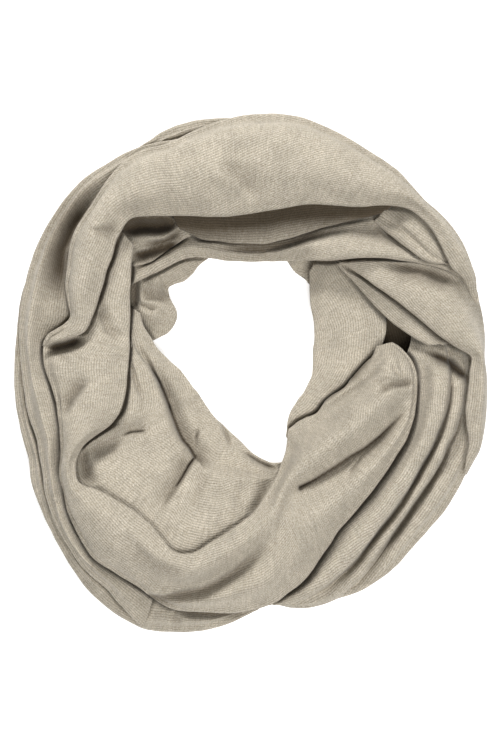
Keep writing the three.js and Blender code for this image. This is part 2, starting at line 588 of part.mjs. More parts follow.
// Closed solid between two grids of the same size
function solidBetween(outer, inner) {
  const rows = outer.length;
  const columns = outer[0].length;
  const positions = [...outer.flat(), ...inner.flat()].flatMap((p) => [p.x, p.y, p.z]);
  const outerAt = (i, j) => i * columns + j;
  const innerAt = (i, j) => rows * columns + i * columns + j;
  const faces = [];
  const quad = (a, b, c, d) => faces.push(a, b, c, a, c, d);
  for (let i = 0; i < rows - 1; i++) {
    for (let j = 0; j < columns - 1; j++) {
      quad(outerAt(i, j), outerAt(i + 1, j), outerAt(i + 1, j + 1), outerAt(i, j + 1));
      quad(innerAt(i, j), innerAt(i, j + 1), innerAt(i + 1, j + 1), innerAt(i + 1, j));
    }
    quad(outerAt(i, 0), innerAt(i, 0), innerAt(i + 1, 0), outerAt(i + 1, 0));
    const e = columns - 1;
    quad(outerAt(i, e), outerAt(i + 1, e), innerAt(i + 1, e), innerAt(i, e));
  }
  for (let j = 0; j < columns - 1; j++) {
    quad(outerAt(0, j), outerAt(0, j + 1), innerAt(0, j + 1), innerAt(0, j));
    const e = rows - 1;
    quad(outerAt(e, j), innerAt(e, j), innerAt(e, j + 1), outerAt(e, j + 1));
  }
  const geometry = new THREE.BufferGeometry();
  geometry.setAttribute('position', new THREE.Float32BufferAttribute(positions, 3));
  geometry.setIndex(faces);
  geometry.computeVertexNormals();
  return geometry;
}

// Height of the lowest cloth over each cell of a polar grid, for the hidden layers
function undersideOf(innerGrids, stations, rings, radiusAt) {
  const step = 360 / stations;
  const heights = Array.from({ length: stations }, () => new Array(rings).fill(Infinity));
  const mark = (point) => {
    const angle = ((Math.atan2(point.y, point.x) / RAD) + 360) % 360;
    const radius = Math.hypot(point.x, point.y);
    const i = Math.floor(angle / step);
    for (const station of [i, (i + 1) % stations]) {
      for (let k = 0; k < rings; k++) {
        const reach = (radiusAt(station, 1) - radiusAt(station, 0)) * RING_OVERREACH;
        if (Math.abs(radiusAt(station, k) - radius) <= reach) {
          heights[station][k] = Math.min(heights[station][k], point.z);
        }
      }
    }
  };
  const steps = [0, 0.25, 0.5, 0.75, 1];
  innerGrids.forEach((grid) => {
    for (let i = 0; i < grid.length - 1; i++) {
      for (let j = 0; j < grid[0].length - 1; j++) {
        for (const u of steps) {
          for (const v of steps) {
            const near = grid[i][j].clone().lerp(grid[i + 1][j], u);
            const far = grid[i][j + 1].clone().lerp(grid[i + 1][j + 1], u);
            mark(near.lerp(far, v));
          }
        }
      }
    }
  });
  return heights;
}

// Hidden layers: a ring with a flat underside, rounded edges and a top just under the cloth
function hiddenLayers(coverGrids) {
  const rows = readTable(HIDDEN);
  rows.push({ ...rows[0], angle: 360 });
  const inner = lineOf(rows, 'inner');
  const outer = lineOf(rows, 'outer');
  const { stations, rings, edgeShape, shoulderInset, lowestTop, highestTop } = HIDDEN;
  const step = 360 / stations;
  const radiusAt = (i, k) => {
    const low = inner(i * step) + shoulderInset;
    const high = outer(i * step) - shoulderInset;
    return low + ((high - low) * k) / (rings - 1);
  };
  const under = undersideOf(coverGrids, stations, rings, radiusAt);
  const sections = [];
  for (let i = 0; i < stations; i++) {
    const angle = i * step;
    const top = under[i].map((height, k) => [
      radiusAt(i, k), Math.max(Math.min(height - LAYER_GAP, highestTop), lowestTop),
    ]);
    const edge = (radius, side, height) => edgeShape.map(({ share, inset }) => [
      radius - side * inset, height * share,
    ]);
    const section = [
      ...edge(inner(angle), -1, top[0][1]),
      ...top,
      ...edge(outer(angle), 1, top[rings - 1][1]).reverse(),
    ];
    sections.push(section.map(([radius, height]) => [
      radius * Math.cos(angle * RAD), radius * Math.sin(angle * RAD), height,
    ]));
  }
  return ringSolid(sections);
}

// Closed solid swept round the ring through the same number of points at each station
function ringSolid(sections) {
  const count = sections[0].length;
  const positions = sections.flat(2);
  const faces = [];
  sections.forEach((_, i) => {
    const next = (i + 1) % sections.length;
    for (let j = 0; j < count; j++) {
      const k = (j + 1) % count;
      const a = i * count + j;
      const b = next * count + j;
      const c = next * count + k;
      const d = i * count + k;
      faces.push(a, c, b, a, d, c);
    }
  });
  const geometry = new THREE.BufferGeometry();
  geometry.setAttribute('position', new THREE.Float32BufferAttribute(positions, 3));
  geometry.setIndex(faces);
  geometry.computeVertexNormals();
  return geometry;
}

const STRETCHES = {
  top_stretch: TOP_STRETCH,
  under_top_fold: UNDER_TOP_FOLD,
  top_right_folds: TOP_RIGHT_FOLDS,
  hole_top_band: HOLE_TOP_BAND,
  right_band: RIGHT_BAND,
  right_under_roll: RIGHT_UNDER_ROLL,
  right_inner_panel: RIGHT_INNER_PANEL,
  swag_stretch: SWAG_STRETCH,
  right_stretch: RIGHT_STRETCH,
  inner_left_stretch: INNER_LEFT_STRETCH,
  corner_folds: CORNER_FOLDS,
  corner_lobe: CORNER_LOBE,
  outer_left_stretch: OUTER_LEFT_STRETCH,
  back_stretch: BACK_STRETCH,
};

const knit = new THREE.MeshStandardMaterial({
  name: 'heather_knit', color: YARN_COLOUR, roughness: YARN_ROUGHNESS, metalness: 0, side: THREE.DoubleSide,
});

const scarf = new THREE.Group();
scarf.name = 'infinity_scarf';

const innerGrids = [];
for (const [name, table] of Object.entries(STRETCHES)) {
  const outerFace = clothGrid(table);
  const innerFace = innerGrid(outerFace);
  innerGrids.push(innerFace, outerFace);
  const mesh = new THREE.Mesh(solidBetween(outerFace, innerFace), knit);
  mesh.name = name;
  mesh.position.set(AXIS_PLACE.x, AXIS_PLACE.y, 0);
  scarf.add(mesh);
}

const core = new THREE.Mesh(hiddenLayers(innerGrids), knit);
core.name = 'hidden_layers';
core.position.set(AXIS_PLACE.x, AXIS_PLACE.y, 0);
scarf.add(core);

export default scarf;
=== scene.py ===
"""Infinity scarf of fine heather knit, lying wound in two loops on a plain floor."""
import math

import bmesh
import bpy
import numpy as np
from bpy.props import (
    FloatProperty, FloatVectorProperty, IntProperty, PointerProperty, StringProperty,
)
from mathutils import Matrix, Vector, noise
from mathutils.kdtree import KDTree


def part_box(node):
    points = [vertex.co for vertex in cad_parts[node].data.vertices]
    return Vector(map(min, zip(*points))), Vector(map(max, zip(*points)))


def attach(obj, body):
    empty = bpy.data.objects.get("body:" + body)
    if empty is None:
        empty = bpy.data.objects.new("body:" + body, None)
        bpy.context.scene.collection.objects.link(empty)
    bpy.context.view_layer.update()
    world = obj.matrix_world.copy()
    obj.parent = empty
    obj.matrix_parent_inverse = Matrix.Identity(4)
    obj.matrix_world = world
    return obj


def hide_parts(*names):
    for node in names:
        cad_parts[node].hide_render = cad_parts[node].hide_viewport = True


bl_info = {
    "name": "Infinity Scarf",
    "version": (1, 0, 0),
    "blender": (4, 5, 0),
    "location": "View3D > Sidebar > Scarf",
    "description": "Wound infinity scarf of fine knit on a studio floor",
    "category": "Add Mesh",
}

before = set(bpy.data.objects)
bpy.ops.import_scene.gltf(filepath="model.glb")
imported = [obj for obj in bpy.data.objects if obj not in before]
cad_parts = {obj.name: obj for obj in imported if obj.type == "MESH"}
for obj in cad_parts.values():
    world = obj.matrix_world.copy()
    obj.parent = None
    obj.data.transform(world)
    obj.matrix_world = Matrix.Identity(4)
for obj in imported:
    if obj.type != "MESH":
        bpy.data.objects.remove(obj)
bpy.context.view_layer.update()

MM = 0.001
# The ring's axis, as in the part's source: angles and radii are taken round it
AXIS = Vector((0.1, 0.36)) * MM
# The photograph's scale, and the pixel that lies on the ring's axis
MM_PER_PIXEL = 0.78
AXIS_PIXEL = (250, 374)
PHOTO_SIZE = (496, 744)


class Stretch:
    """Fold lines of one stretch of cloth: a row for each section, cut at an angle in degrees
    from +X, and for each fold its radius from the ring's axis and its height, in mm."""

    def __init__(self, folds, rim_roll, lip_roll, rows):
        self.folds = folds.split()
        self.rim_roll = rim_roll
        self.lip_roll = lip_roll
        self.rows = np.array(rows, float)


TOP_STRETCH = Stretch(
    folds="rim shoulder crest lip",
    rim_roll=5,
    lip_roll=4.5,
    rows=[
        (17.5, 187, 40, 186.5, 42, 185.7, 42.5, 183.5, 41),
        (20, 188.8, 45, 188, 48.5, 186.3, 49.5, 182, 47),
        (24, 192, 45, 190, 54, 187, 58, 181, 53),
        (28, 193.5, 44, 191, 58, 186, 63, 176, 57),
        (34, 195, 44, 192.5, 60, 187.5, 67, 178, 60),
        (40, 194, 44, 191.5, 62, 187.5, 70, 179.5, 62),
        (45, 192.5, 44, 190, 63, 186, 71, 178, 63),
        (50, 194, 44, 190, 64, 183, 73, 170, 63),
        (55, 196, 44, 190, 65, 178, 74, 158, 63),
        (60, 196.5, 44, 189, 66, 174, 75, 150, 62),
        (70, 200, 44, 191, 66, 172, 76, 140, 61),
        (80, 204, 44, 194, 66, 170, 76, 129.5, 61),
        (90, 202, 44, 192, 66, 168, 76, 124, 60),
        (97, 198.5, 46, 189, 66, 165, 76, 123.2, 60),
        (103, 194.5, 48, 186, 66, 164, 76, 125, 60),
        (110, 191, 50, 184, 66, 164, 76, 130, 60),
        (116, 194, 48, 186, 65, 166, 75.5, 136, 60),
        (122, 192, 50, 184, 64, 168, 75, 144, 60),
        (128, 186, 52, 180, 64, 169, 72, 151.5, 60),
        (134, 180, 50, 176, 62, 166, 71, 147, 59),
        (140, 177, 49, 171, 61, 160, 70, 140, 58),
        (144.4, 172.5, 48, 167, 59, 156, 69, 137, 58),
        (149, 166, 47, 161, 58, 152, 68, 133, 57),
        (155.5, 158, 49, 154, 59, 147, 67, 130.5, 57),
        (159, 152, 53, 149, 59.5, 144, 66, 130, 57.5),
        (162.4, 147, 55, 145.5, 59.5, 141, 64, 130.5, 58),
        (165, 150, 55.5, 147, 60, 142, 63, 132, 58),
        (167, 155, 56, 151, 59.5, 146, 62, 136, 58),
        (169, 160.5, 54, 157, 57.5, 153, 59.5, 144, 57.5),
        (171, 162.5, 53.5, 161, 55.5, 159, 56.5, 155, 56),
        (172.2, 163, 52.5, 162, 53.5, 161, 54, 159.5, 53.5),
    ],
)

UNDER_TOP_FOLD = Stretch(
    folds="rim crest lip",
    rim_roll=0,
    lip_roll=4.5,
    rows=[
        (50, 178, 55, 170, 56, 163, 52),
        (53, 172, 55, 161, 56, 152, 51),
        (57, 164, 54, 151, 55.5, 141.5, 50),
        (62, 157, 53, 140, 54.5, 130, 49),
        (68, 149, 53, 128, 54, 118, 47),
        (75, 142, 52, 119, 53.5, 108.7, 45),
        (85, 134, 51.5, 112.5, 52.5, 101.5, 43),
        (95, 132, 51.5, 113, 52, 102, 42.5),
        (105, 136, 51.5, 118, 52, 107.5, 43),
        (110, 140, 51, 122, 51.5, 112, 43.5),
        (114, 142, 50, 131, 50.5, 121, 45),
        (116, 142.5, 49.7, 134, 50, 125.5, 46.5),
    ],
)

TOP_RIGHT_FOLDS = Stretch(
    folds="rim upper groove lower lip",
    rim_roll=0,
    lip_roll=3.5,
    rows=[
        (29, 186.5, 50, 182.5, 51.5, 179.5, 51, 178, 51.5, 175.5, 49.5),
        (31, 187, 52, 177.5, 54.5, 172.5, 53, 170.5, 53.5, 167, 51),
        (34, 187, 53, 173, 55.5, 167.5, 52.5, 165, 53, 160.5, 50.5),
        (38, 187, 54, 172, 56, 165.5, 51, 162, 53, 157, 49),
        (43, 186, 55, 170, 57, 163.5, 51, 159, 53, 154, 49),
        (48, 180, 51, 168, 49, 161.5, 46.5, 157, 47.5, 152.5, 45),
        (51, 175, 46.5, 166, 45.5, 160.5, 44.5, 157.5, 45, 153, 43.5),
    ],
)

HOLE_TOP_BAND = Stretch(
    folds="rim foot crest lip",
    rim_roll=0,
    lip_roll=4.5,
    rows=[
        (20, 186.8, 39, 186.2, 40.5, 185.7, 41, 184.5, 40),
        (22.1, 187, 40, 186, 42.5, 185, 43.5, 182.8, 42),
        (24, 186.5, 41, 185, 44, 183.5, 45.5, 180.5, 43.5),
        (26.2, 185, 41.5, 182.5, 44.5, 180.5, 47, 177, 45),
        (28.3, 182, 40, 179, 43, 176.3, 46, 172.5, 44.8),
        (30.5, 177, 39.5, 172.5, 42.5, 169.5, 45, 166, 44),
        (33.4, 170, 39.5, 164.5, 41.5, 161, 44.8, 157.5, 43.8),
        (37, 167, 40.5, 159, 43, 153.5, 49.5, 146.5, 47.3),
        (40, 166, 40, 157, 43, 149, 52.5, 139.5, 48.8),
        (45, 163, 39.5, 154.5, 42, 141.5, 53.5, 128, 48.8),
        (50, 161, 38, 152, 40, 133, 51.5, 117, 46),
        (55, 152, 40, 143, 43, 123, 50, 108, 43),
        (60, 143, 41, 134, 43, 117, 47, 102.5, 38),
        (65, 133, 40, 124, 42, 111, 44, 98, 33),
        (70, 125, 38, 115, 40, 105, 41, 94, 28),
        (80, 114, 36, 104, 37, 98, 36, 90, 23),
        (90, 111, 36, 101, 36, 95.5, 34, 88.5, 21),
        (100, 114, 35, 104, 36, 98, 34.5, 90, 21),
        (110, 122, 31.5, 112, 34, 104, 35.5, 96.5, 24),
        (115, 126, 30.5, 118, 31.5, 109, 37, 101, 28),
        (122, 126, 31.5, 117, 33, 111, 37, 104.5, 30),
        (130, 127, 31, 118, 32.5, 113, 36, 106.5, 30),
        (137, 130, 29.5, 122, 31, 117, 34, 110.5, 30.5),
        (143, 132, 31, 126, 32.5, 121, 34.5, 115.5, 31.5),
    ],
)

RIGHT_BAND = Stretch(
    folds="rim crest lip",
    rim_roll=0,
    lip_roll=4.5,
    rows=[
        (-25, 187.6, 19, 186.6, 22.5, 185, 22.5),
        (-22, 188.6, 19, 186.5, 28, 182, 27.5),
        (-18, 190.5, 18, 186, 34, 179.5, 31),
        (-13, 189.5, 17, 183, 39, 173.5, 33),
        (-8, 188, 18, 180, 43, 170.5, 35),
        (0, 186, 19, 180, 45, 171, 36),
        (4, 184.8, 20, 180, 47, 173, 39),
        (8, 186.3, 21, 176, 49, 160, 41),
        (12, 187.5, 22, 169, 51, 149, 42),
        (18, 188.5, 25, 162, 52, 138.5, 42),
        (24, 188, 33, 155, 52, 130.5, 42),
        (30, 179, 32, 147, 49.5, 124, 41),
        (36, 162, 34, 137, 47, 119, 39),
        (42, 147, 38, 129, 45, 115.5, 37),
        (48, 132, 37, 123, 40, 113, 34),
        (53, 124, 33, 119, 35, 112, 31),
    ],
)

RIGHT_UNDER_ROLL = Stretch(
    folds="rim crest lip",
    rim_roll=0,
    lip_roll=3.5,
    rows=[
        (9, 162, 34, 149, 36.5, 140.5, 33.5),
        (12, 158, 34, 142, 37, 132, 33),
        (16, 151, 34, 135, 36.5, 124, 31),
        (20, 145, 34, 128.5, 36, 118, 29),
        (25, 139, 34, 122, 35, 113.5, 28),
        (30, 134, 33.5, 118, 34, 110.5, 27),
        (36, 128, 32, 115, 32.5, 109, 26),
        (42, 124, 30, 114, 31, 108.5, 25),
        (48, 122, 27.5, 114.5, 28.5, 109, 24),
        (54, 121, 25.5, 116, 26.5, 111, 23.5),
    ],
)

RIGHT_INNER_PANEL = Stretch(
    folds="rim crest lip",
    rim_roll=0,
    lip_roll=5,
    rows=[
        (-60, 69, 9.5, 63, 10, 56.5, 7),
        (-52, 65, 11, 57, 12, 48, 7),
        (-44, 63, 12, 54, 13.5, 44, 7.5),
        (-36, 65, 13, 53.5, 15, 42.5, 8),
        (-28, 70, 14, 54, 16, 42.2, 8),
        (-20, 72, 16, 56, 17, 44, 8.5),
        (-10, 81, 18, 62, 19, 46, 9),
        (0, 91, 19.5, 68, 21, 49, 9),
        (10, 104, 20, 76, 22, 50.5, 9),
        (20, 114, 20, 82, 23, 53, 9),
        (30, 119, 20, 86, 23, 58.5, 9),
        (40, 119, 19.5, 90, 23, 64.5, 9),
        (48, 119, 18.5, 95, 22.5, 71, 9.5),
        (54, 118, 17.5, 99, 21, 80.5, 10),
        (60, 114, 17, 104, 18, 93, 11),
    ],
)

SWAG_STRETCH = Stretch(
    folds="rim outer valley crest lip",
    rim_roll=4,
    lip_roll=4.5,
    rows=[
        (132, 152, 47, 147, 48, 144, 48, 141, 48, 134.5, 44),
        (137, 150, 47.5, 143, 49, 139, 49.5, 135, 49, 126, 44),
        (143, 148, 48, 139, 49.5, 134, 50, 129, 49, 116.5, 43),
        (150, 145, 48, 135, 49.5, 129, 50, 122, 48.5, 107.5, 42),
        (157, 143, 45.5, 132, 48.5, 125, 49.5, 117, 48.5, 102, 41),
        (163, 146, 44, 134, 48, 126, 50, 116, 49.5, 98.5, 41),
        (168, 155, 44, 142, 48.5, 132, 51, 118, 52, 96, 42),
        (172, 163, 44, 152, 51, 140, 54, 120, 56, 95.3, 43),
        (177, 161, 44.5, 152, 54, 142, 56, 121, 59, 95, 44),
        (184, 155, 46, 148, 54, 142, 56, 122, 61, 95.8, 46),
        (190, 153, 46.5, 149, 54, 145, 56, 123, 62, 98.5, 47),
        (195, 154, 46, 151, 55, 148, 59, 130, 63, 103, 49),
        (200, 157, 45, 154, 55, 151, 60, 138, 64, 115, 51),
        (203.5, 161, 44, 158.5, 54, 156, 60, 150.5, 63.5, 141, 54),
        (208, 168, 43, 166, 52, 163.5, 59, 160, 62, 153, 55),
        (212, 171.5, 42, 170, 51, 168, 58, 163.5, 62.5, 156.5, 56),
        (217, 178, 41, 175, 51, 171, 58, 162, 64, 148, 56),
        (223, 183, 40, 179, 50, 173, 58, 158, 65, 142, 56),
        (230, 188.5, 39, 184, 49, 177, 57, 157, 65, 138.7, 56),
        (236, 187.5, 38, 183, 47, 175, 55, 156, 65, 139.5, 56),
        (242, 188.2, 36, 184, 45, 175, 52, 158, 65, 145, 56),
        (247, 191.5, 34, 187.5, 43, 180, 45, 161, 64, 150, 57),
        (252, 193.5, 33, 187, 43.5, 178, 42, 160, 63, 146, 57),
        (257, 191.5, 32, 182, 45, 171, 42, 150, 62, 133, 55),
        (262, 189, 31, 176, 47, 161, 43.5, 139, 61, 122.5, 53),
        (267, 186.8, 30, 170, 49, 152, 45.5, 130, 60, 114, 51),
        (272, 184, 28, 163, 50, 143, 48, 122, 58.5, 106, 48),
        (276, 180.5, 28, 157, 51, 134, 51, 114, 57, 97.5, 45),
        (280, 174, 30, 148, 52, 124, 52.5, 107, 56, 90, 41),
        (285, 166.5, 32, 137, 53, 104, 51, 95, 54, 82, 36),
        (290, 156, 34, 127, 54, 99, 47, 88, 53, 73.5, 27),
        (295, 147, 36, 122, 54, 99, 45, 84, 53, 66, 22),
        (300, 140, 37, 119, 53, 100.5, 44, 83, 54, 58.5, 18),
        (306, 136.5, 38, 118, 52.5, 102, 43, 81, 54.5, 52.5, 17),
        (313, 133.3, 39, 118, 51.5, 104.5, 42.5, 81, 55, 52.5, 18),
        (321, 131.3, 39, 119, 50.5, 108, 42.5, 83, 56, 55, 20),
        (330, 131, 38.5, 121.5, 48.5, 113, 42.5, 88, 57, 60.5, 22),
        (338, 132.5, 37.5, 125, 46, 118.5, 42, 94, 57, 62, 24),
        (345, 132.5, 37, 127.5, 44, 123, 42, 100, 57, 66.5, 25),
        (352, 131.5, 36, 128, 43, 124, 45, 107, 56, 75, 27),
        (359, 131.2, 35, 127.5, 42, 123, 46, 110, 53, 81.5, 28),
        (364, 128.5, 34, 125, 40, 120, 44, 110, 49, 88, 28),
        (369, 121.5, 32, 118, 37, 114, 39.5, 108, 41, 97, 28),
        (372.5, 114, 27.5, 112, 29.5, 110, 30.5, 107, 30, 101, 27),
    ],
)

RIGHT_STRETCH = Stretch(
    folds="rim fifth grooveA fourth grooveB third foot tuck",
    rim_roll=6,
    lip_roll=0,
    rows=[
        (273.8, 182.3, 10, 180.5, 15, 179.5, 17, 178.5, 18.5, 177, 19.5, 173, 20.5, 169, 20, 163, 19.5),
        (277, 184, 11, 183, 17, 182, 19.5, 181, 21, 179.5, 22, 176, 24, 172, 23, 163, 22),
        (280, 187.3, 12, 186.3, 17, 185.5, 20, 184.5, 22.5, 183, 23.5, 178, 27, 173, 24.5, 161, 23),
        (285, 190.2, 12, 189, 17, 187.8, 20, 186, 23, 181.5, 24, 174, 32, 168, 26, 154, 24),
        (291, 189.8, 12, 189, 17, 188.3, 20, 184.5, 26, 178.5, 25, 166, 36, 156, 28.5, 143, 26),
        (297, 192, 12, 189.3, 20, 185, 20, 180, 29, 173, 27, 158, 39, 146, 30.5, 133, 27),
        (304, 191.3, 12, 186, 23, 177.5, 21, 172, 32, 165, 28.5, 152, 41.5, 139, 32, 126, 28),
        (312, 188, 12, 180, 26, 170, 22, 165, 34, 159, 29.5, 147, 43, 135.5, 33, 122, 29),
        (321, 186.8, 12, 177.5, 29, 165.3, 24, 160.5, 35.5, 155, 30.5, 144, 44.5, 133.5, 33.5, 120, 29),
        (330, 187.5, 12, 177.5, 30, 165, 25, 160, 36.5, 154, 31, 143, 45, 133, 33, 120, 28.5),
        (338, 187, 10.5, 178.5, 23, 166.7, 24, 161.5, 36.5, 155.7, 31, 144.5, 45, 134.5, 32, 120, 28),
        (345, 185, 9, 178, 20, 168.2, 23, 163, 36, 157, 31, 145, 45, 134.5, 31.5, 120, 27),
        (353, 183, 9, 177, 19, 169.7, 23, 164, 34.5, 158.5, 30, 146, 45, 134, 30.5, 120, 26),
        (361, 182, 9, 176.5, 18, 170, 22, 164.5, 30, 158.5, 27, 146.5, 43, 134, 29.5, 121, 25),
        (366, 181, 9, 176, 17, 169, 19.5, 164, 24, 157, 23, 147, 34, 134, 28, 123, 24),
        (370, 179.5, 9, 174.5, 15, 168.5, 17, 163.5, 20, 157, 20, 147.5, 25, 136, 24, 127, 22),
        (373, 180, 9, 173, 14, 168, 15, 163, 17, 157, 18, 147.5, 20, 138, 20, 130, 19),
        (379.5, 184, 9, 176, 14, 171, 15, 166, 15.5, 160, 16, 151, 17, 143, 18, 137, 18),
    ],
)

INNER_LEFT_STRETCH = Stretch(
    folds="rim bowl brow groove apron lip",
    rim_roll=0,
    lip_roll=5,
    rows=[
        (151, 116, 31, 112, 33, 110, 33, 107, 32, 104, 32, 98, 28),
        (155, 115, 33, 109, 34, 105, 34, 101, 32, 98, 31, 92, 26),
        (160, 113, 33, 104, 34, 101, 34, 97.5, 31, 92, 30, 82, 22),
        (165, 110, 33, 100, 35, 98, 34.5, 93.5, 30, 86, 29, 74, 17),
        (170, 108, 34, 97, 35.5, 93, 34, 87, 27, 80, 27, 64.5, 13),
        (177, 107, 35, 92, 36, 84, 32, 78, 25, 70, 24, 54.5, 10),
        (185, 108, 36, 92, 37, 80, 32, 72, 23, 64, 22, 49, 9),
        (193, 112, 38, 92, 38, 79, 31, 70, 22, 60, 21, 45.7, 9),
        (200, 124, 40, 96, 39, 80, 31, 69, 22, 58, 20, 43.2, 9),
        (205, 148, 42, 106, 40, 82, 32, 69, 22, 57, 20, 42.5, 9),
        (211, 164, 46, 114, 42, 86, 33, 70.3, 22.5, 57, 20, 42, 9),
        (218, 155, 48, 116, 44, 88, 34, 72.6, 23, 58, 20, 42, 9),
        (226, 149, 48.5, 116, 45, 90, 34, 75, 24, 59, 20, 43, 9),
        (233, 147, 48.5, 114, 43, 92, 34, 77, 26, 60, 21, 44, 9),
        (240, 150, 48.5, 116, 45, 93, 37, 78, 30, 62, 22, 45, 9),
        (248, 158, 49, 118, 46, 94, 38, 78, 31, 63, 22, 47, 9),
        (255, 148, 48.5, 112, 45, 92, 37, 78, 30, 64, 22, 49.5, 9),
        (262, 132, 46.5, 105, 42, 90, 36, 78, 30, 66, 22, 53.5, 9.5),
        (270, 119, 42, 98, 37, 88, 33, 79, 28, 71, 21.5, 61, 10),
        (278, 104, 35, 92, 31, 86, 28, 81, 25, 76, 20, 68, 10),
        (285, 92, 27, 87, 25, 84, 23, 82, 21, 79, 18, 72, 10),
        (291, 85, 17, 83, 17, 82, 17, 81, 16, 79, 15, 74, 10),
    ],
)

CORNER_FOLDS = Stretch(
    folds="rim upper groove lower lip",
    rim_roll=0,
    lip_roll=3.2,
    rows=[
        (113, 140, 37, 131, 37.5, 126.5, 36.5, 123, 37, 117.5, 35),
        (115.5, 145, 38.5, 131, 39.5, 126.5, 37.5, 122, 38.5, 117.2, 35.5),
        (118.5, 150, 42, 129.5, 45.5, 125, 40.5, 120.5, 42, 116.6, 38),
        (122, 154, 43.5, 128.5, 47, 123.8, 41, 119.5, 42, 116.3, 38),
        (126, 158, 43.5, 131, 46.5, 127, 41, 120, 42, 116, 38),
        (130, 158, 41, 137, 41.5, 132.5, 38.5, 121, 41, 116.2, 37),
        (134, 152, 37, 142, 37, 136, 36, 124, 38, 119, 35.5),
        (137, 145, 35.5, 140, 35.5, 136, 35, 129, 35.5, 123, 34),
    ],
)

CORNER_LOBE = Stretch(
    folds="rim crest lip",
    rim_roll=0,
    lip_roll=5,
    rows=[
        (110, 110, 17, 104, 18, 97, 13),
        (115, 113, 19, 104, 21.5, 94.5, 13),
        (120, 115, 22, 103, 24.5, 90.5, 12),
        (125, 116, 24, 102, 26, 89.3, 12),
        (130, 117, 24, 104, 26, 92.3, 12),
        (133, 118, 24, 105, 25, 93.5, 12),
        (136, 119, 24, 101, 25, 87.5, 11.5),
        (139, 119, 25, 96, 26, 77, 11),
        (143, 119, 26, 93, 27, 72.3, 10),
        (149, 112, 24, 92, 27, 71.2, 10),
        (153, 106, 20, 90, 22, 72, 10),
        (157, 100, 16.5, 88, 17.5, 75.5, 9.5),
        (161, 94, 13, 88, 13.5, 80.5, 9),
    ],
)

OUTER_LEFT_STRETCH = Stretch(
    folds="rim crest foot tuck",
    rim_roll=5,
    lip_roll=0,
    rows=[
        (100, 190, 31.5, 186, 35, 181, 35, 175, 34),
        (108, 192.5, 29.5, 187.5, 34.5, 182, 34, 177, 33),
        (115, 197.5, 26, 191.5, 33, 186, 33, 180, 31),
        (120, 199.8, 25, 192.5, 36, 186, 35.5, 179, 33),
        (125, 200.5, 24.5, 193.5, 41, 186, 40, 177, 37),
        (130, 201.5, 25, 194, 45, 185, 42, 175, 39),
        (140, 199, 26, 190, 49, 180.5, 42, 168, 37),
        (150, 194.5, 27, 185, 50, 171, 41, 156, 35),
        (156, 191.5, 27.5, 181.5, 50, 167, 41, 150, 34),
        (162, 188.5, 28, 178.5, 50, 165.5, 41, 147, 34),
        (168, 185, 28.5, 176, 50, 166.5, 42, 152, 35),
        (173, 181.5, 29, 173.5, 50, 166, 42, 156, 36),
        (178, 179, 29, 171, 49.5, 163, 42, 153, 36),
        (184, 177.5, 29, 168, 49, 158.5, 42, 147, 37),
        (190, 177, 29, 165.5, 48, 155, 40, 145, 37),
        (197, 175, 29, 165, 47, 156.5, 39, 146, 36),
        (204, 179, 28, 171, 45, 163.5, 37.5, 153, 35),
        (212, 187.5, 27, 180, 43, 173, 36, 163, 34),
        (220, 195, 26, 188.5, 41, 182, 34.5, 172, 32.5),
        (228, 200, 25, 194, 39, 188.5, 33.5, 179, 31.5),
        (236, 202.5, 24, 196, 36, 189.5, 32, 179, 30),
        (240, 207.5, 21.5, 199.5, 31, 191, 29, 181, 27),
        (244, 213.5, 20, 204, 27, 194.5, 26.5, 184, 24.5),
        (246, 216.5, 19, 206.5, 25, 196, 25, 185, 24),
    ],
)

BACK_STRETCH = Stretch(
    folds="rim crest tuck",
    rim_roll=6.5,
    lip_roll=0,
    rows=[
        (21, 186, 10, 179, 17, 168, 16),
        (30, 191, 11, 184, 22, 172, 20),
        (40, 191, 12, 184, 25, 171, 23),
        (50, 191.5, 12, 184, 26, 171, 24),
        (60, 194, 12, 187, 27, 173, 25),
        (70, 198, 12, 190, 28, 176, 26),
        (80, 201.5, 13, 194, 29, 179, 27),
        (90, 201, 13, 195, 27, 179, 23),
        (97, 202.7, 14, 197.5, 25, 180, 20),
        (104, 204, 14, 198.5, 24, 181, 20),
        (110, 203, 12, 197, 20.5, 180, 18),
        (114, 200.5, 11, 194, 17, 180, 15.5),
        (119, 198, 10, 191, 16, 178, 14.5),
        (130, 199, 9, 190, 17, 176, 15),
        (142, 196, 9.5, 187, 18, 172, 16),
        (152, 193, 10, 185.5, 20, 170, 18),
        (160, 191, 11, 184.5, 22, 169, 20),
        (170, 187, 11, 181, 23, 165, 20),
        (180, 186.5, 11, 180, 23, 162, 20),
        (190, 186, 11, 179.5, 23, 160, 20),
        (200, 187, 11, 180, 22.5, 160, 19),
        (208, 193.5, 11, 186, 22, 167, 19),
        (216, 199, 11, 192.5, 21, 176, 18),
        (224, 205, 10.5, 198, 20, 182, 17),
        (232, 212.5, 10, 204, 19, 186, 16),
        (239, 216.5, 8.5, 206, 16, 187, 14),
        (243.5, 218, 7.5, 207, 13, 187, 12.5),
        (247, 217.8, 8, 207, 16.7, 187, 15.7),
        (250, 216, 9, 206, 22, 184, 20),
        (255, 210.5, 10, 201, 24, 180, 22),
        (260, 205, 10, 196.5, 24, 177, 22),
        (265, 198, 9.5, 190.5, 22, 174, 20),
        (269, 191, 8.5, 184.5, 18, 170, 17),
        (272.8, 185, 8, 180, 13, 168, 12),
    ],
)

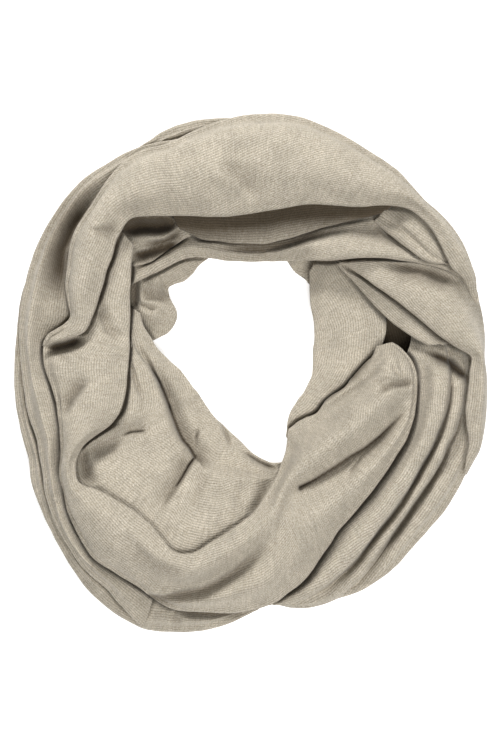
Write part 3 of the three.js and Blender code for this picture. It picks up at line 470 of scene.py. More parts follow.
STRETCHES = {
    "top_stretch": TOP_STRETCH,
    "under_top_fold": UNDER_TOP_FOLD,
    "top_right_folds": TOP_RIGHT_FOLDS,
    "hole_top_band": HOLE_TOP_BAND,
    "right_band": RIGHT_BAND,
    "right_under_roll": RIGHT_UNDER_ROLL,
    "right_inner_panel": RIGHT_INNER_PANEL,
    "swag_stretch": SWAG_STRETCH,
    "right_stretch": RIGHT_STRETCH,
    "inner_left_stretch": INNER_LEFT_STRETCH,
    "corner_folds": CORNER_FOLDS,
    "corner_lobe": CORNER_LOBE,
    "outer_left_stretch": OUTER_LEFT_STRETCH,
    "back_stretch": BACK_STRETCH,
}

# Ribs' slant against the stretch's own run, in degrees at an angle of the ring
RIB_SLANTS = {
    "top_stretch": [(17, -5), (28, -15), (40, -33), (64, -33), (80, -27), (93, -17), (110, 0),
                    (122, 9), (134, 5), (150, 0)],
    "under_top_fold": [(50, 10), (75, 0), (116, 0)],
    "hole_top_band": [(20, -10), (40, -25), (60, -12), (90, 0), (143, 0)],
    "swag_stretch": [(150, 0), (210, 8), (240, 0), (300, -6), (372, 0)],
}

# Creases: half width in mm to the left and to the right of the line, depth in
# mm (a minus sign raises a ridge), which ends fade, and the line's points as pixels of the
# photograph, which is seen from straight above
CREASES = {
    "top_stretch": [
        (6, 6, -1.2, "both", [(120, 157), (160, 147), (200, 143), (250, 141), (300, 144),
                              (335, 150)]),
        (8, 5, 1.0, "both", [(150, 138), (190, 133), (230, 131)]),
        (12, 4, 3.4, "both", [(212, 160), (226, 170), (240, 180), (252, 194), (262, 208)]),
        (6, 6, -1.4, "both", [(200, 166), (228, 184), (246, 202)]),
        (9, 2, 3.6, "both", [(122, 226), (106, 229), (88, 233)]),
    ],
    "swag_stretch": [
        (6, 2.5, 4.5, "both", [(97, 296), (102, 316), (108, 331), (116, 336), (130, 337)]),
        (3, 5, 12, "both", [(40, 348), (52, 347), (66, 344), (78, 340), (88, 336)]),
        (2.5, 9, 6, "both", [(92, 376), (82, 388), (73, 399), (67, 409), (63, 420)]),
        (4, 4, 1.5, "both", [(57, 350), (66, 360), (70, 367)]),
        (4, 4, 1.2, "both", [(77, 361), (92, 360)]),
        (4, 8, 3.2, "both", [(120, 526), (138, 547), (150, 559), (165, 566), (182, 572),
                             (202, 572)]),
        (2, 6, 6, "last", [(150, 596), (165, 597), (182, 593), (200, 590), (216, 583),
                           (232, 573), (247, 561), (260, 548), (272, 534)]),
        (5, 2, 6, "both", [(412, 404), (396, 420), (380, 437), (365, 449), (350, 458),
                               (335, 468), (315, 480), (300, 487), (284, 496)]),
        (1.7, 1.5, 10, "first", [(414, 402), (396, 420), (380, 436), (365, 448), (350, 457),
                                (335, 467), (315, 479), (300, 487)]),
        (1.8, 1.8, 4.5, "both", [(366, 450), (357, 463), (346, 478)]),
        (2, 5, 5.5, "last", [(407, 385), (392, 386), (374, 394)]),
        (1.8, 3, 3, "last", [(403, 384), (390, 380), (370, 383)]),
        (1.8, 1.8, 2.4, "last", [(403, 382), (396, 372), (390, 361)]),
        (1.8, 1.8, 2, "last", [(404, 380), (401, 370), (398, 358)]),
        (5, 5, -1.5, "both", [(411, 370), (412, 385), (405, 398)]),
        (2.2, 2.2, 7, "both", [(379, 334), (376, 348), (367, 362), (355, 376), (340, 389),
                               (325, 401), (310, 414), (297, 425)]),
        (2, 2, 3, "both", [(388, 340), (385, 358), (373, 373), (357, 387), (341, 398),
                           (323, 409), (306, 427)]),
    ],
    "inner_left_stretch": [
        (2, 2, 4, "both", [(129, 348), (131, 367), (137, 386), (147, 407)]),
        (1.8, 1.8, 2.2, "both", [(135, 340), (142, 356), (150, 370), (160, 384)]),
        (8, 1.5, 7, "first", [(148, 362), (158, 380), (164, 395), (170, 411), (177, 429),
                              (184, 441), (193, 453), (198, 460)]),
        (1.6, 1.6, 11, "first", [(139, 345), (146, 358), (153, 372), (159, 383), (163, 392),
                                (168, 405), (172, 417), (177, 430), (182, 440), (189, 448),
                                (195, 458)]),
        (1.5, 9, 6, "both", [(198, 440), (194, 453), (189, 463), (182, 477), (174, 491),
                              (164, 505), (154, 518)]),
        (4, 4, 3, "both", [(197, 426), (192, 439), (194, 453)]),
        (6, 1.8, 3.6, "both", [(119, 436), (131, 432), (152, 430)]),
        (1.5, 1.5, 7, "both", [(119, 436), (131, 432), (141, 431), (150, 432)]),
        (1.5, 1.5, 9, "last", [(196, 456), (189, 465), (183, 476), (176, 487), (169, 498)]),
        (1.5, 1.5, 6, "first", [(199, 427), (196, 436), (195, 446), (194, 456)]),
        (1.5, 1.8, 4.5, "both", [(217, 414), (226, 435), (232, 452)]),
        (4, 6, 3, "both", [(206, 462), (202, 486), (190, 512)]),
        (5, 5, 2, "both", [(243, 482), (240, 502), (230, 524)]),
        (2.5, 5, 5, "both", [(276, 476), (264, 492), (258, 505), (247, 520)]),
        (1.5, 1.5, 5, "both", [(238, 450), (258, 462), (282, 473)]),
        (7, 7, 4.5, "both", [(80, 452), (96, 450), (112, 446), (128, 440)]),
        (5, 5, 6, "both", [(84, 440), (83, 458), (88, 476), (98, 488)]),
    ],
    "outer_left_stretch": [
        (5, 14, 9, "both", [(112, 178), (92, 199), (74, 225), (62, 250), (60, 280), (61, 305),
                            (66, 322)]),
        (2.5, 2.5, 3, "both", [(108, 185), (90, 205), (72, 230), (60, 250)]),
    ],
    "corner_lobe": [
        (10, 1.5, 6, "both", [(139, 303), (148, 298), (159, 299), (172, 303)]),
        (2, 2, 5, "last", [(138, 303), (148, 307), (158, 311)]),
        (3, 3, 4, "both", [(136, 314), (142, 327), (152, 335)]),
        (4, 4, 8, "none", [(134, 280), (134, 303)]),
        (3, 3, 2.5, "both", [(146, 283), (149, 297)]),
        (2.5, 2.5, 3, "both", [(163, 280), (165, 296)]),
    ],
    "under_top_fold": [
        (14, 22, 10.5, "none", [(160, 214), (210, 217), (250, 214), (300, 206), (345, 204),
                            (385, 208)]),
    ],
    "hole_top_band": [
        (11, 3, 8, "both", [(190, 240), (225, 249), (262, 250), (292, 243), (330, 232),
                           (366, 226)]),
        (7, 7, 9, "both", [(134, 262), (142, 254), (158, 247), (176, 240)]),
    ],
    "corner_folds": [
        (8, 1.5, 8, "both", [(185, 222), (175, 233), (165, 240), (152, 243), (137, 243)]),
        (7, 6, 20, "both", [(112, 230), (138, 226), (158, 226), (186, 221)]),
        (7, 1.5, 13, "both", [(186, 237), (172, 243), (158, 247), (142, 252), (122, 256)]),
    ],
    "right_band": [
        (3, 10, 7, "both", [(372, 262), (400, 266), (430, 272), (455, 281), (470, 294)]),
        (3, 3, 0.9, "both", [(405, 275), (428, 291), (452, 312)]),
    ],
    "right_inner_panel": [
        (6, 6, -1.5, "both", [(336, 284), (350, 304), (365, 325), (374, 338)]),
    ],
    "right_stretch": [
        (1.7, 1.7, 7, "both", [(452, 350), (453, 375), (450, 395), (447, 410), (443, 425),
                               (437, 440), (430, 455), (424, 465), (418, 478), (410, 492),
                               (402, 505), (392, 518), (380, 532), (370, 545), (360, 560),
                               (348, 572), (335, 582), (318, 592), (300, 600), (285, 605)]),
        (1.7, 1.7, 7, "both", [(468, 372), (466, 400), (463, 415), (458, 430), (450, 445),
                               (445, 460), (437, 475), (428, 488), (418, 502), (408, 518),
                               (398, 532), (385, 548), (372, 565), (360, 582), (345, 595)]),
        (3, 5, 10, "both", [(420, 346), (436, 355), (452, 363), (466, 376), (472, 392)]),
    ],
    "back_stretch": [
        (4.5, 4.5, -5, "last", [(160, 594), (152, 608), (145, 624), (140, 637)]),
        (4, 4, 4, "both", [(171, 608), (175, 620), (184, 627)]),
        (3, 4, 8, "both", [(158, 602), (172, 610), (190, 614), (214, 616), (240, 614),
                           (262, 609)]),
    ],
}

# Gaps under the edges, in mm: reach on the side that shows, width held under the edge,
# and the width of stretch that makes a full gap; and the angle in which a gap ends
GAP_REACH = 1.7
GAP_UNDER = 12
GAP_BROAD = 30
GAP_END = 6
# How open the gap is along an edge, at angles of the ring; elsewhere the cloth lies apart.
# A lip is 1 and a rim is -1
EDGE_OPENING = {
    ("swag_stretch", 1): [(150, 1), (206, 1), (216, 0.15), (284, 0.15), (298, 1)],
    ("top_stretch", -1): [(100, 0.3), (108, 0.1), (130, 0.1), (150, 0.9)],
}
# Least height in mm of the cloth over the surface that it lies on, and of the bottom of a
# crease, which has the cloth's own thickness below it
FLOOR_CLEARANCE = 0.2
LEAST_TOP = 2.4
# Share of a crease's length in which it fades towards an end
FADE_SHARE = 0.35
# Painted shade: depth in mm of a crease or gap at which the painted shade is full, and how
# fast the painted shade grows towards that depth
PAINTED_SHADE_FULL_DEPTH = 9
PAINTED_SHADE_FALL = 1.4
# Share of the cell's size on the stretches with the crispest folds
FINE_CELLS = {"inner_left_stretch": 0.75, "right_stretch": 0.8}
# How far an end's middle reaches past its sides, in degrees, and the angle that it bends
ROUND_ENDS = {"outer_left_stretch": 1.1}
ROUND_END_RUN = 6
# A pleat's shoulder, as shares of the way and of the rise from its groove to its top
SHOULDER = (0.36, 0.8)


def slopes_of(x, y):
    """Slopes for a smooth line through the rows that never swings past them."""
    chord = np.diff(y) / np.diff(x)
    slopes = np.zeros(len(x))
    before, after = chord[:-1], chord[1:]
    same = before * after > 0
    slopes[1:-1][same] = 2 * before[same] * after[same] / (before[same] + after[same])
    slopes[0], slopes[-1] = chord[0], chord[-1]
    return slopes


def smooth_line(x, y, at):
    """One column of a table at any angles."""
    slopes = slopes_of(x, y)
    at = np.clip(at, x[0], x[-1])
    i = np.clip(np.searchsorted(x, at, side="right") - 1, 0, len(x) - 2)
    width = x[i + 1] - x[i]
    t = (at - x[i]) / width
    return (
        (2 * t**3 - 3 * t**2 + 1) * y[i] + (t**3 - 2 * t**2 + t) * width * slopes[i]
        + (3 * t**2 - 2 * t**3) * y[i + 1] + (t**3 - t**2) * width * slopes[i + 1]
    )


# Points round a rolled edge, as shares of the roll's radius: out from the edge, and up
ROLL_POINTS = [(0.8, 0.92), (0.15, 0.5), (0.02, -0.15), (0.45, -0.8), (1.3, -1.0)]
TIP_ROLL_SHARE = 0.3


def section_points(stretch, values):
    """Radius and height along one section, from the rim over the folds to the lip."""
    folds = values.reshape(-1, 2)
    width = folds[0, 0] - folds[-1, 0]
    points = []
    for i, (radius, height) in enumerate(folds):
        if i == 0 and stretch.rim_roll:
            roll = min(stretch.rim_roll, width * TIP_ROLL_SHARE)
            points += [(radius - a * roll, height + b * roll) for a, b in ROLL_POINTS[::-1]]
        elif i == len(folds) - 1 and stretch.lip_roll:
            roll = min(stretch.lip_roll, width * TIP_ROLL_SHARE)
            points += [(radius + a * roll, height + b * roll) for a, b in ROLL_POINTS]
        else:
            points.append((radius, height))
        if i + 1 < len(folds):
            ends = [folds[i], folds[i + 1]]
            if "groove" in stretch.folds[i + 1]:
                ends.reverse()
            elif "groove" not in stretch.folds[i]:
                continue
            apart = abs(ends[1][0] - ends[0][0])
            full = np.clip((apart - 2) / 4, 0, 1)
            along, rise = SHOULDER
            shares = np.array([along, along + (rise - along) * full])
            points.append(ends[0] + (ends[1] - ends[0]) * shares)
    return np.array(points)


def smooth_section(points, count):
    """Evenly spaced points on a smooth curve through a section's points."""
    spans = np.linalg.norm(np.diff(points, axis=0), axis=1)
    at = np.concatenate([[0], np.cumsum(spans)])
    chord = np.diff(points, axis=0) / spans[:, None]
    slopes = np.empty_like(points)
    slopes[0], slopes[-1] = chord[0], chord[-1]
    share = (spans[1:] / (spans[:-1] + spans[1:]))[:, None]
    slopes[1:-1] = chord[:-1] * share + chord[1:] * (1 - share)
    fine = np.linspace(0, at[-1], count)
    i = np.clip(np.searchsorted(at, fine, side="right") - 1, 0, len(spans) - 1)
    t = ((fine - at[i]) / spans[i])[:, None]
    span = spans[i][:, None]
    curve = (
        (2 * t**3 - 3 * t**2 + 1) * points[i] + (t**3 - 2 * t**2 + t) * span * slopes[i]
        + (3 * t**2 - 2 * t**3) * points[i + 1] + (t**3 - t**2) * span * slopes[i + 1]
    )
    return curve


def cloth_grid(name, cell):
    """The outer face of a stretch: its angles, and points[station, column] in mm."""
    stretch = STRETCHES[name]
    x = stretch.rows[:, 0]
    reach = stretch.rows[:, 1::2].max()
    stations = max(int(math.radians(x[-1] - x[0]) * reach / cell), 12)
    angles = np.linspace(x[0], x[-1], stations)
    values = np.stack([smooth_line(x, stretch.rows[:, k], angles)
                       for k in range(1, stretch.rows.shape[1])], axis=1)
    sections = [section_points(stretch, v) for v in values]
    lengths = [np.linalg.norm(np.diff(s, axis=0), axis=1).sum() for s in sections]
    columns = max(int(max(lengths) / cell), 12)
    bulge = ROUND_ENDS.get(name, 0) * (1 - np.linspace(-1, 1, columns) ** 2)
    grid = np.empty((stations, columns, 3))
    for i, section in enumerate(sections):
        curve = smooth_section(section, columns)
        near_end = max(1 - (x[-1] - angles[i]) / ROUND_END_RUN, 0)
        turn = np.radians(angles[i] + bulge * near_end)
        grid[i, :, 0] = curve[:, 0] * np.cos(turn)
        grid[i, :, 1] = curve[:, 0] * np.sin(turn)
        grid[i, :, 2] = curve[:, 1]
    return angles, grid


def grid_normals(grid):
    """Unit normals of a grid of points, out of the cloth's face."""
    normal = np.cross(np.gradient(grid, axis=0), np.gradient(grid, axis=1))
    length = np.linalg.norm(normal, axis=2, keepdims=True)
    return normal / np.maximum(length, 1e-9)


def at_pixel(x, y):
    """The point of the ring's plane under a pixel of the photograph, in mm from the axis."""
    return np.array([x - AXIS_PIXEL[0], AXIS_PIXEL[1] - y]) * MM_PER_PIXEL


def crease_depth(grid, crease):
    """How far a crease sinks each point: a trough with a soft and a steep side that may
    fade towards either end."""
    left, right, depth, fading, line = crease
    nodes = [at_pixel(*p) for p in line]
    spans = [np.linalg.norm(b - a) for a, b in zip(nodes, nodes[1:])]
    total, start = sum(spans), 0
    flat = grid[:, :, :2]
    nearest = np.full(flat.shape[:2], np.inf)
    along = np.zeros(flat.shape[:2])
    side = np.zeros(flat.shape[:2])
    for a, b, span in zip(nodes, nodes[1:], spans):
        t = np.clip(((flat - a) @ (b - a)) / span**2, 0, 1)
        away = flat - (a + t[..., None] * (b - a))
        gap = np.linalg.norm(away, axis=2)
        closer = gap < nearest
        nearest[closer] = gap[closer]
        along[closer] = (start + t * span)[closer]
        turn = (b - a)[0] * away[..., 1] - (b - a)[1] * away[..., 0]
        side[closer] = turn[closer]
        start += span
    share = np.clip(along / total, 0, 1)
    fade = np.ones(share.shape)
    if fading in ("both", "first"):
        fade *= np.clip(share / FADE_SHARE, 0, 1)
    if fading in ("both", "last"):
        fade *= np.clip((1 - share) / FADE_SHARE, 0, 1)
    fade = fade * fade * (3 - 2 * fade)
    width = np.where(side > 0, left, right)
    return depth * fade * np.exp(-((nearest / width) ** 2))


def edge_gap(angles, grid, upper, side, opening):
    """How far the cloth sinks beside an edge of a stretch that lies on it, as a share.
    side is 1 at a lip, where the cloth shows inside the edge, and -1 at a rim."""
    x = upper.rows[:, 0]
    column = upper.rows.shape[1] - 2 if side > 0 else 1
    radii = np.linalg.norm(grid[:, :, :2], axis=2)
    share = np.zeros(radii.shape)
    for turn in (-360, 0, 360):
        at = angles + turn
        met = (at >= x[0]) & (at <= x[-1])
        if not met.any():
            continue
        at = at[met]
        edge = smooth_line(x, upper.rows[:, column], at)
        height = smooth_line(x, upper.rows[:, column + 1], at)
        rim = smooth_line(x, upper.rows[:, 1], at)
        lip = smooth_line(x, upper.rows[:, -2], at)
        slope = np.gradient(edge, np.radians(at)) / edge if len(at) > 1 else 0
        apart = side * (edge[:, None] - radii[met]) / np.sqrt(1 + slope**2)[:, None]
        shown = np.exp(-((np.maximum(apart, 0) / GAP_REACH) ** 2))
        under = np.exp(-((np.minimum(apart + GAP_UNDER, 0) / GAP_UNDER) ** 2))
        below = np.clip((height[:, None] - grid[met][:, :, 2]) / 4, 0, 1)
        if side > 0:
            below *= np.clip((rim[:, None] - radii[met]) / 5, 0, 1)
        else:
            below *= np.clip((radii[met] - lip[:, None]) / 5, 0, 1)
        broad = np.clip((rim - lip) / GAP_BROAD, 0, 1)[:, None]
        broad *= np.clip((at - x[0]) / GAP_END, 0, 1)[:, None]
        broad *= np.clip((x[-1] - at) / GAP_END, 0, 1)[:, None]
        broad *= np.interp(at % 360, [a for a, _ in opening], [s for _, s in opening])[:, None]
        share[met] = np.maximum(share[met], shown * under * below * broad)
    return share


def gaps_under_edges(name, angles, grid, sizes):
    """Depth that the cloth drops away by under the edges of the stretches on it, in mm."""
    names = list(STRETCHES)
    share = np.zeros(grid.shape[:2])
    for upper in names[:names.index(name)] + names[names.index(name) + 1:]:
        stretch = STRETCHES[upper]
        for side, roll in ((1, stretch.lip_roll), (-1, stretch.rim_roll)):
            opening = EDGE_OPENING.get((upper, side), [(0, 1)])
            if roll:
                share = np.maximum(share, edge_gap(angles, grid, stretch, side, opening))
    return share * np.minimum(sizes.gap_depth / MM, 0.3 * grid[:, :, 2])


def laid_unevenly(name, angles, grid, sizes):
    """The grid with its creases and the slight waves of cloth that was laid by hand, and
    the share of painted shade at each point, from how far it lies down in a crease or gap."""
    normals = grid_normals(grid)
    sunk = np.zeros(grid.shape[:2])
    drop = gaps_under_edges(name, angles, grid, sizes)
    raised = np.zeros(grid.shape[:2])
    for crease in CREASES.get(name, ()):
        depth = crease_depth(grid, crease) * sizes.crease_strength
        sunk = np.maximum(sunk, depth)
        raised += np.minimum(depth, 0)
    waves = np.zeros(grid.shape[:2])
    seed = Vector((len(name) * 7.3, ord(name[0]) * 1.7, 0))
    for i in range(grid.shape[0]):
        for j in range(grid.shape[1]):
            p = Vector(grid[i, j])
            waves[i, j] = (noise.noise(p / 34 + seed) + 0.45 * noise.noise(p / 13 + seed))
    edge = np.minimum(np.arange(grid.shape[1]), np.arange(grid.shape[1])[::-1])
    inside = np.clip(edge / 8, 0.25, 1)[None, :]
    laid = grid + normals * (waves * inside * sizes.wave_height / MM)[..., None]
    deep = np.maximum(drop, sunk)
    least = np.clip(laid[:, :, 2], FLOOR_CLEARANCE, LEAST_TOP)
    laid[:, :, 2] = np.maximum(laid[:, :, 2] - deep - raised, least)
    # Painted shade: the deeper the crease or gap, the more of the dark crease colour
    return laid, np.clip(deep / PAINTED_SHADE_FULL_DEPTH, 0, 1) ** PAINTED_SHADE_FALL


def rib_map(name, angles, grid):
    """Distances along and across the ribs for each point, in metres."""
    middle = grid.mean(axis=1)
    along = np.concatenate([[0], np.cumsum(np.linalg.norm(np.diff(middle, axis=0), axis=1))])
    steps = np.linalg.norm(np.diff(grid, axis=1), axis=2)
    across = np.concatenate([np.zeros((len(grid), 1)), np.cumsum(steps, axis=1)], axis=1)
    across -= across[:, -1:] / 2
    slants = RIB_SLANTS.get(name, [(0, 0)])
    slant = np.interp(angles, [a for a, _ in slants], [s for _, s in slants])
    rise = np.tan(np.radians(slant)) * np.gradient(along)
    across = across + np.cumsum(rise)[:, None]
    return np.stack([np.repeat(along[:, None], grid.shape[1], axis=1), across], axis=2) * MM


def make_stretch(name, sizes, material):
    """One stretch of cloth as a thin shell with a UV map that runs along its ribs."""
    stretch = STRETCHES[name]
    angles, grid = cloth_grid(name, sizes.cell / MM * FINE_CELLS.get(name, 1))
    grid, painted_shade = laid_unevenly(name, angles, grid, sizes)
    ribs = rib_map(name, angles, grid)
    stations, columns = grid.shape[:2]
    widths = np.linalg.norm(grid[:, 0] - grid[:, -1], axis=1) * MM
    walls = np.clip(widths * TIP_ROLL_SHARE * 0.6 / sizes.cloth_wall, 0.5, 1)
    bm = bmesh.new()
    bmesh.ops.create_grid(bm, x_segments=stations - 1, y_segments=columns - 1, size=0.5)
    uv_layer = bm.loops.layers.uv.new("ribs")
    wall_layer = bm.verts.layers.deform.verify()
    # Painted shade of the creases and gaps, kept on each point for the material
    painted_shade_layer = bm.verts.layers.float.new("painted_shade")
    place = {}
    for vert in bm.verts:
        i = round((vert.co.x + 0.5) * (stations - 1))
        j = round((vert.co.y + 0.5) * (columns - 1))
        place[vert] = (i, j)
    for vert, (i, j) in place.items():
        x, y, z = grid[i, j] * MM
        vert.co = (x + AXIS.x, y + AXIS.y, z)
        vert[wall_layer][0] = walls[i]
        vert[painted_shade_layer] = painted_shade[i, j]
    for face in bm.faces:
        face.smooth = True
        for loop in face.loops:
            loop[uv_layer].uv = ribs[place[loop.vert]]
    mesh = bpy.data.meshes.new(name + "_knit")
    bm.to_mesh(mesh)
    bm.free()
    piece = bpy.data.objects.new(name + "_knit", mesh)
    bpy.context.scene.collection.objects.link(piece)
    piece.vertex_groups.new(name="wall")
    mesh.materials.append(material)
    shell = piece.modifiers.new("wall", "SOLIDIFY")
    shell.thickness = sizes.cloth_wall
    shell.offset = -1
    shell.vertex_group = "wall"
    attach(piece, "root")
    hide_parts(name)
    return piece


# Hidden layers: the folded layers' pitch at the heap's edges, and how deep the gaps go, in mm
LAYER_PITCH = 7.5
LAYER_GAP_DEPTH = 3.2
# The layers stay this far below the outer face of the cloth on them, and clear of creases
# that are this near to the side, in mm
LAYER_CLEARANCE = 3
LAYER_NEARBY = 2.6
# Hollows between the stretches, darkened with painted shade: pixel of the photograph, reach
# and depth in mm; where the depth is 0 the dark patch is painted shade alone
PAINTED_SHADE_HOLLOWS = [(398, 332, 20, 16), (136, 294, 9, 5), (66, 344, 11, 0), (458, 366, 9, 0),
           (171, 611, 8, 2), (150, 228, 16, 0), (142, 254, 10, 0), (62, 280, 12, 0)]


def ring_angle(point, near=None):
    """A point's angle round the ring, kept within half a turn of another one."""
    angle = math.atan2(point.y - AXIS.y, point.x - AXIS.x)
    if near is not None:
        angle += 2 * math.pi * round((near - angle) / (2 * math.pi))
    return angle


def cloth_above():
    """A tree of the stretches' points by their place on the floor, and their heights."""
    heights = []
    meshes = [bpy.data.objects[name + "_knit"].data for name in STRETCHES]
    tree = KDTree(sum(len(mesh.vertices) for mesh in meshes))
    for mesh in meshes:
        for vert in mesh.vertices:
            tree.insert((vert.co.x, vert.co.y, 0), len(heights))
            heights.append(vert.co.z / MM)
    tree.balance()
    return tree, heights


def make_hidden_layers(sizes, material):
    """The heap's inner layers: a rounded ring whose edges are rolled into folded layers,
    with painted shade in the hollows between the stretches.
    """
    bm = bmesh.new()
    bm.from_mesh(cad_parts["hidden_layers"].data)
    bmesh.ops.remove_doubles(bm, verts=bm.verts, dist=1e-5)
    low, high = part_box("hidden_layers")
    sides = [e for e in bm.edges
             if all(f.normal.z > -0.8 for f in e.link_faces)]
    bmesh.ops.subdivide_edges(bm, edges=sides, cuts=4, use_grid_fill=True)
    bm.normal_update()
    tree, heights = cloth_above()
    for vert in bm.verts:
        steep = 1 - abs(vert.normal.z)
        height = vert.co.z / MM
        near = tree.find_range((vert.co.x, vert.co.y, 0), LAYER_NEARBY * MM)
        free = min((heights[i] for _, i, _ in near), default=height) - LAYER_CLEARANCE
        drop = 0
        for x, y, reach, depth in PAINTED_SHADE_HOLLOWS:
            apart = np.linalg.norm(at_pixel(x, y) - (vert.co.xy - AXIS) / MM)
            drop += depth * math.exp(-((apart / reach) ** 4))
        vert.co.z = max(min(height, free) - drop, min(height, 1)) * MM
        if vert.co.z < 0.0005 or steep < 0.2:
            continue
        angle = ring_angle(vert.co)
        wander = noise.noise(Vector((math.cos(angle) * 3, math.sin(angle) * 3, 4.2)))
        phase = (vert.co.z / MM + 3 * wander) / LAYER_PITCH
        gap = abs(math.cos(math.pi * phase)) ** 6
        vert.co -= vert.normal * gap * steep * LAYER_GAP_DEPTH * MM
    # Painted shade: the layers take the dark crease colour round each hollow's point
    painted_shade = bm.verts.layers.float.new("painted_shade")
    for vert in bm.verts:
        for x, y, reach, _ in PAINTED_SHADE_HOLLOWS:
            apart = np.linalg.norm(at_pixel(x, y) - (vert.co.xy - AXIS) / MM)
            vert[painted_shade] = max(vert[painted_shade], math.exp(-((apart / reach / 1.4) ** 6)))
    ribs = bm.loops.layers.uv.new("ribs")
    for face in bm.faces:
        face.smooth = True
        middle = ring_angle(face.calc_center_median())
        for loop in face.loops:
            co = loop.vert.co
            radius = math.hypot(co.x - AXIS.x, co.y - AXIS.y)
            loop[ribs].uv = (ring_angle(co, middle) * sum(high.xy) / 2, radius + co.z)
    mesh = bpy.data.meshes.new("hidden_layers_knit")
    bm.to_mesh(mesh)
    bm.free()
    mesh.materials.append(material)
    piece = bpy.data.objects.new("hidden_layers_knit", mesh)
    bpy.context.scene.collection.objects.link(piece)
    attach(piece, "root")
    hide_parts("hidden_layers")
    return piece


def linear(hex_colour):
    """An sRGB hex colour as the linear colour that the shaders take."""
    channels = [int(hex_colour[i:i + 2], 16) / 255 for i in (1, 3, 5)]
    return [c / 12.92 if c <= 0.04045 else ((c + 0.055) / 1.055) ** 2.4 for c in channels]


def add(tree, kind, settings=None, links=None):
    """Adds a node to a tree, sets its values and sockets, and links its inputs."""
    made = tree.nodes.new(kind)
    for key, value in (settings or {}).items():
        if hasattr(made, key):
            setattr(made, key, value)
        else:
            made.inputs[key if not key.isdigit() else int(key)].default_value = value
    for key, socket in (links or {}).items():
        tree.links.new(socket, made.inputs[int(key) if key.isdigit() else key])
    return made


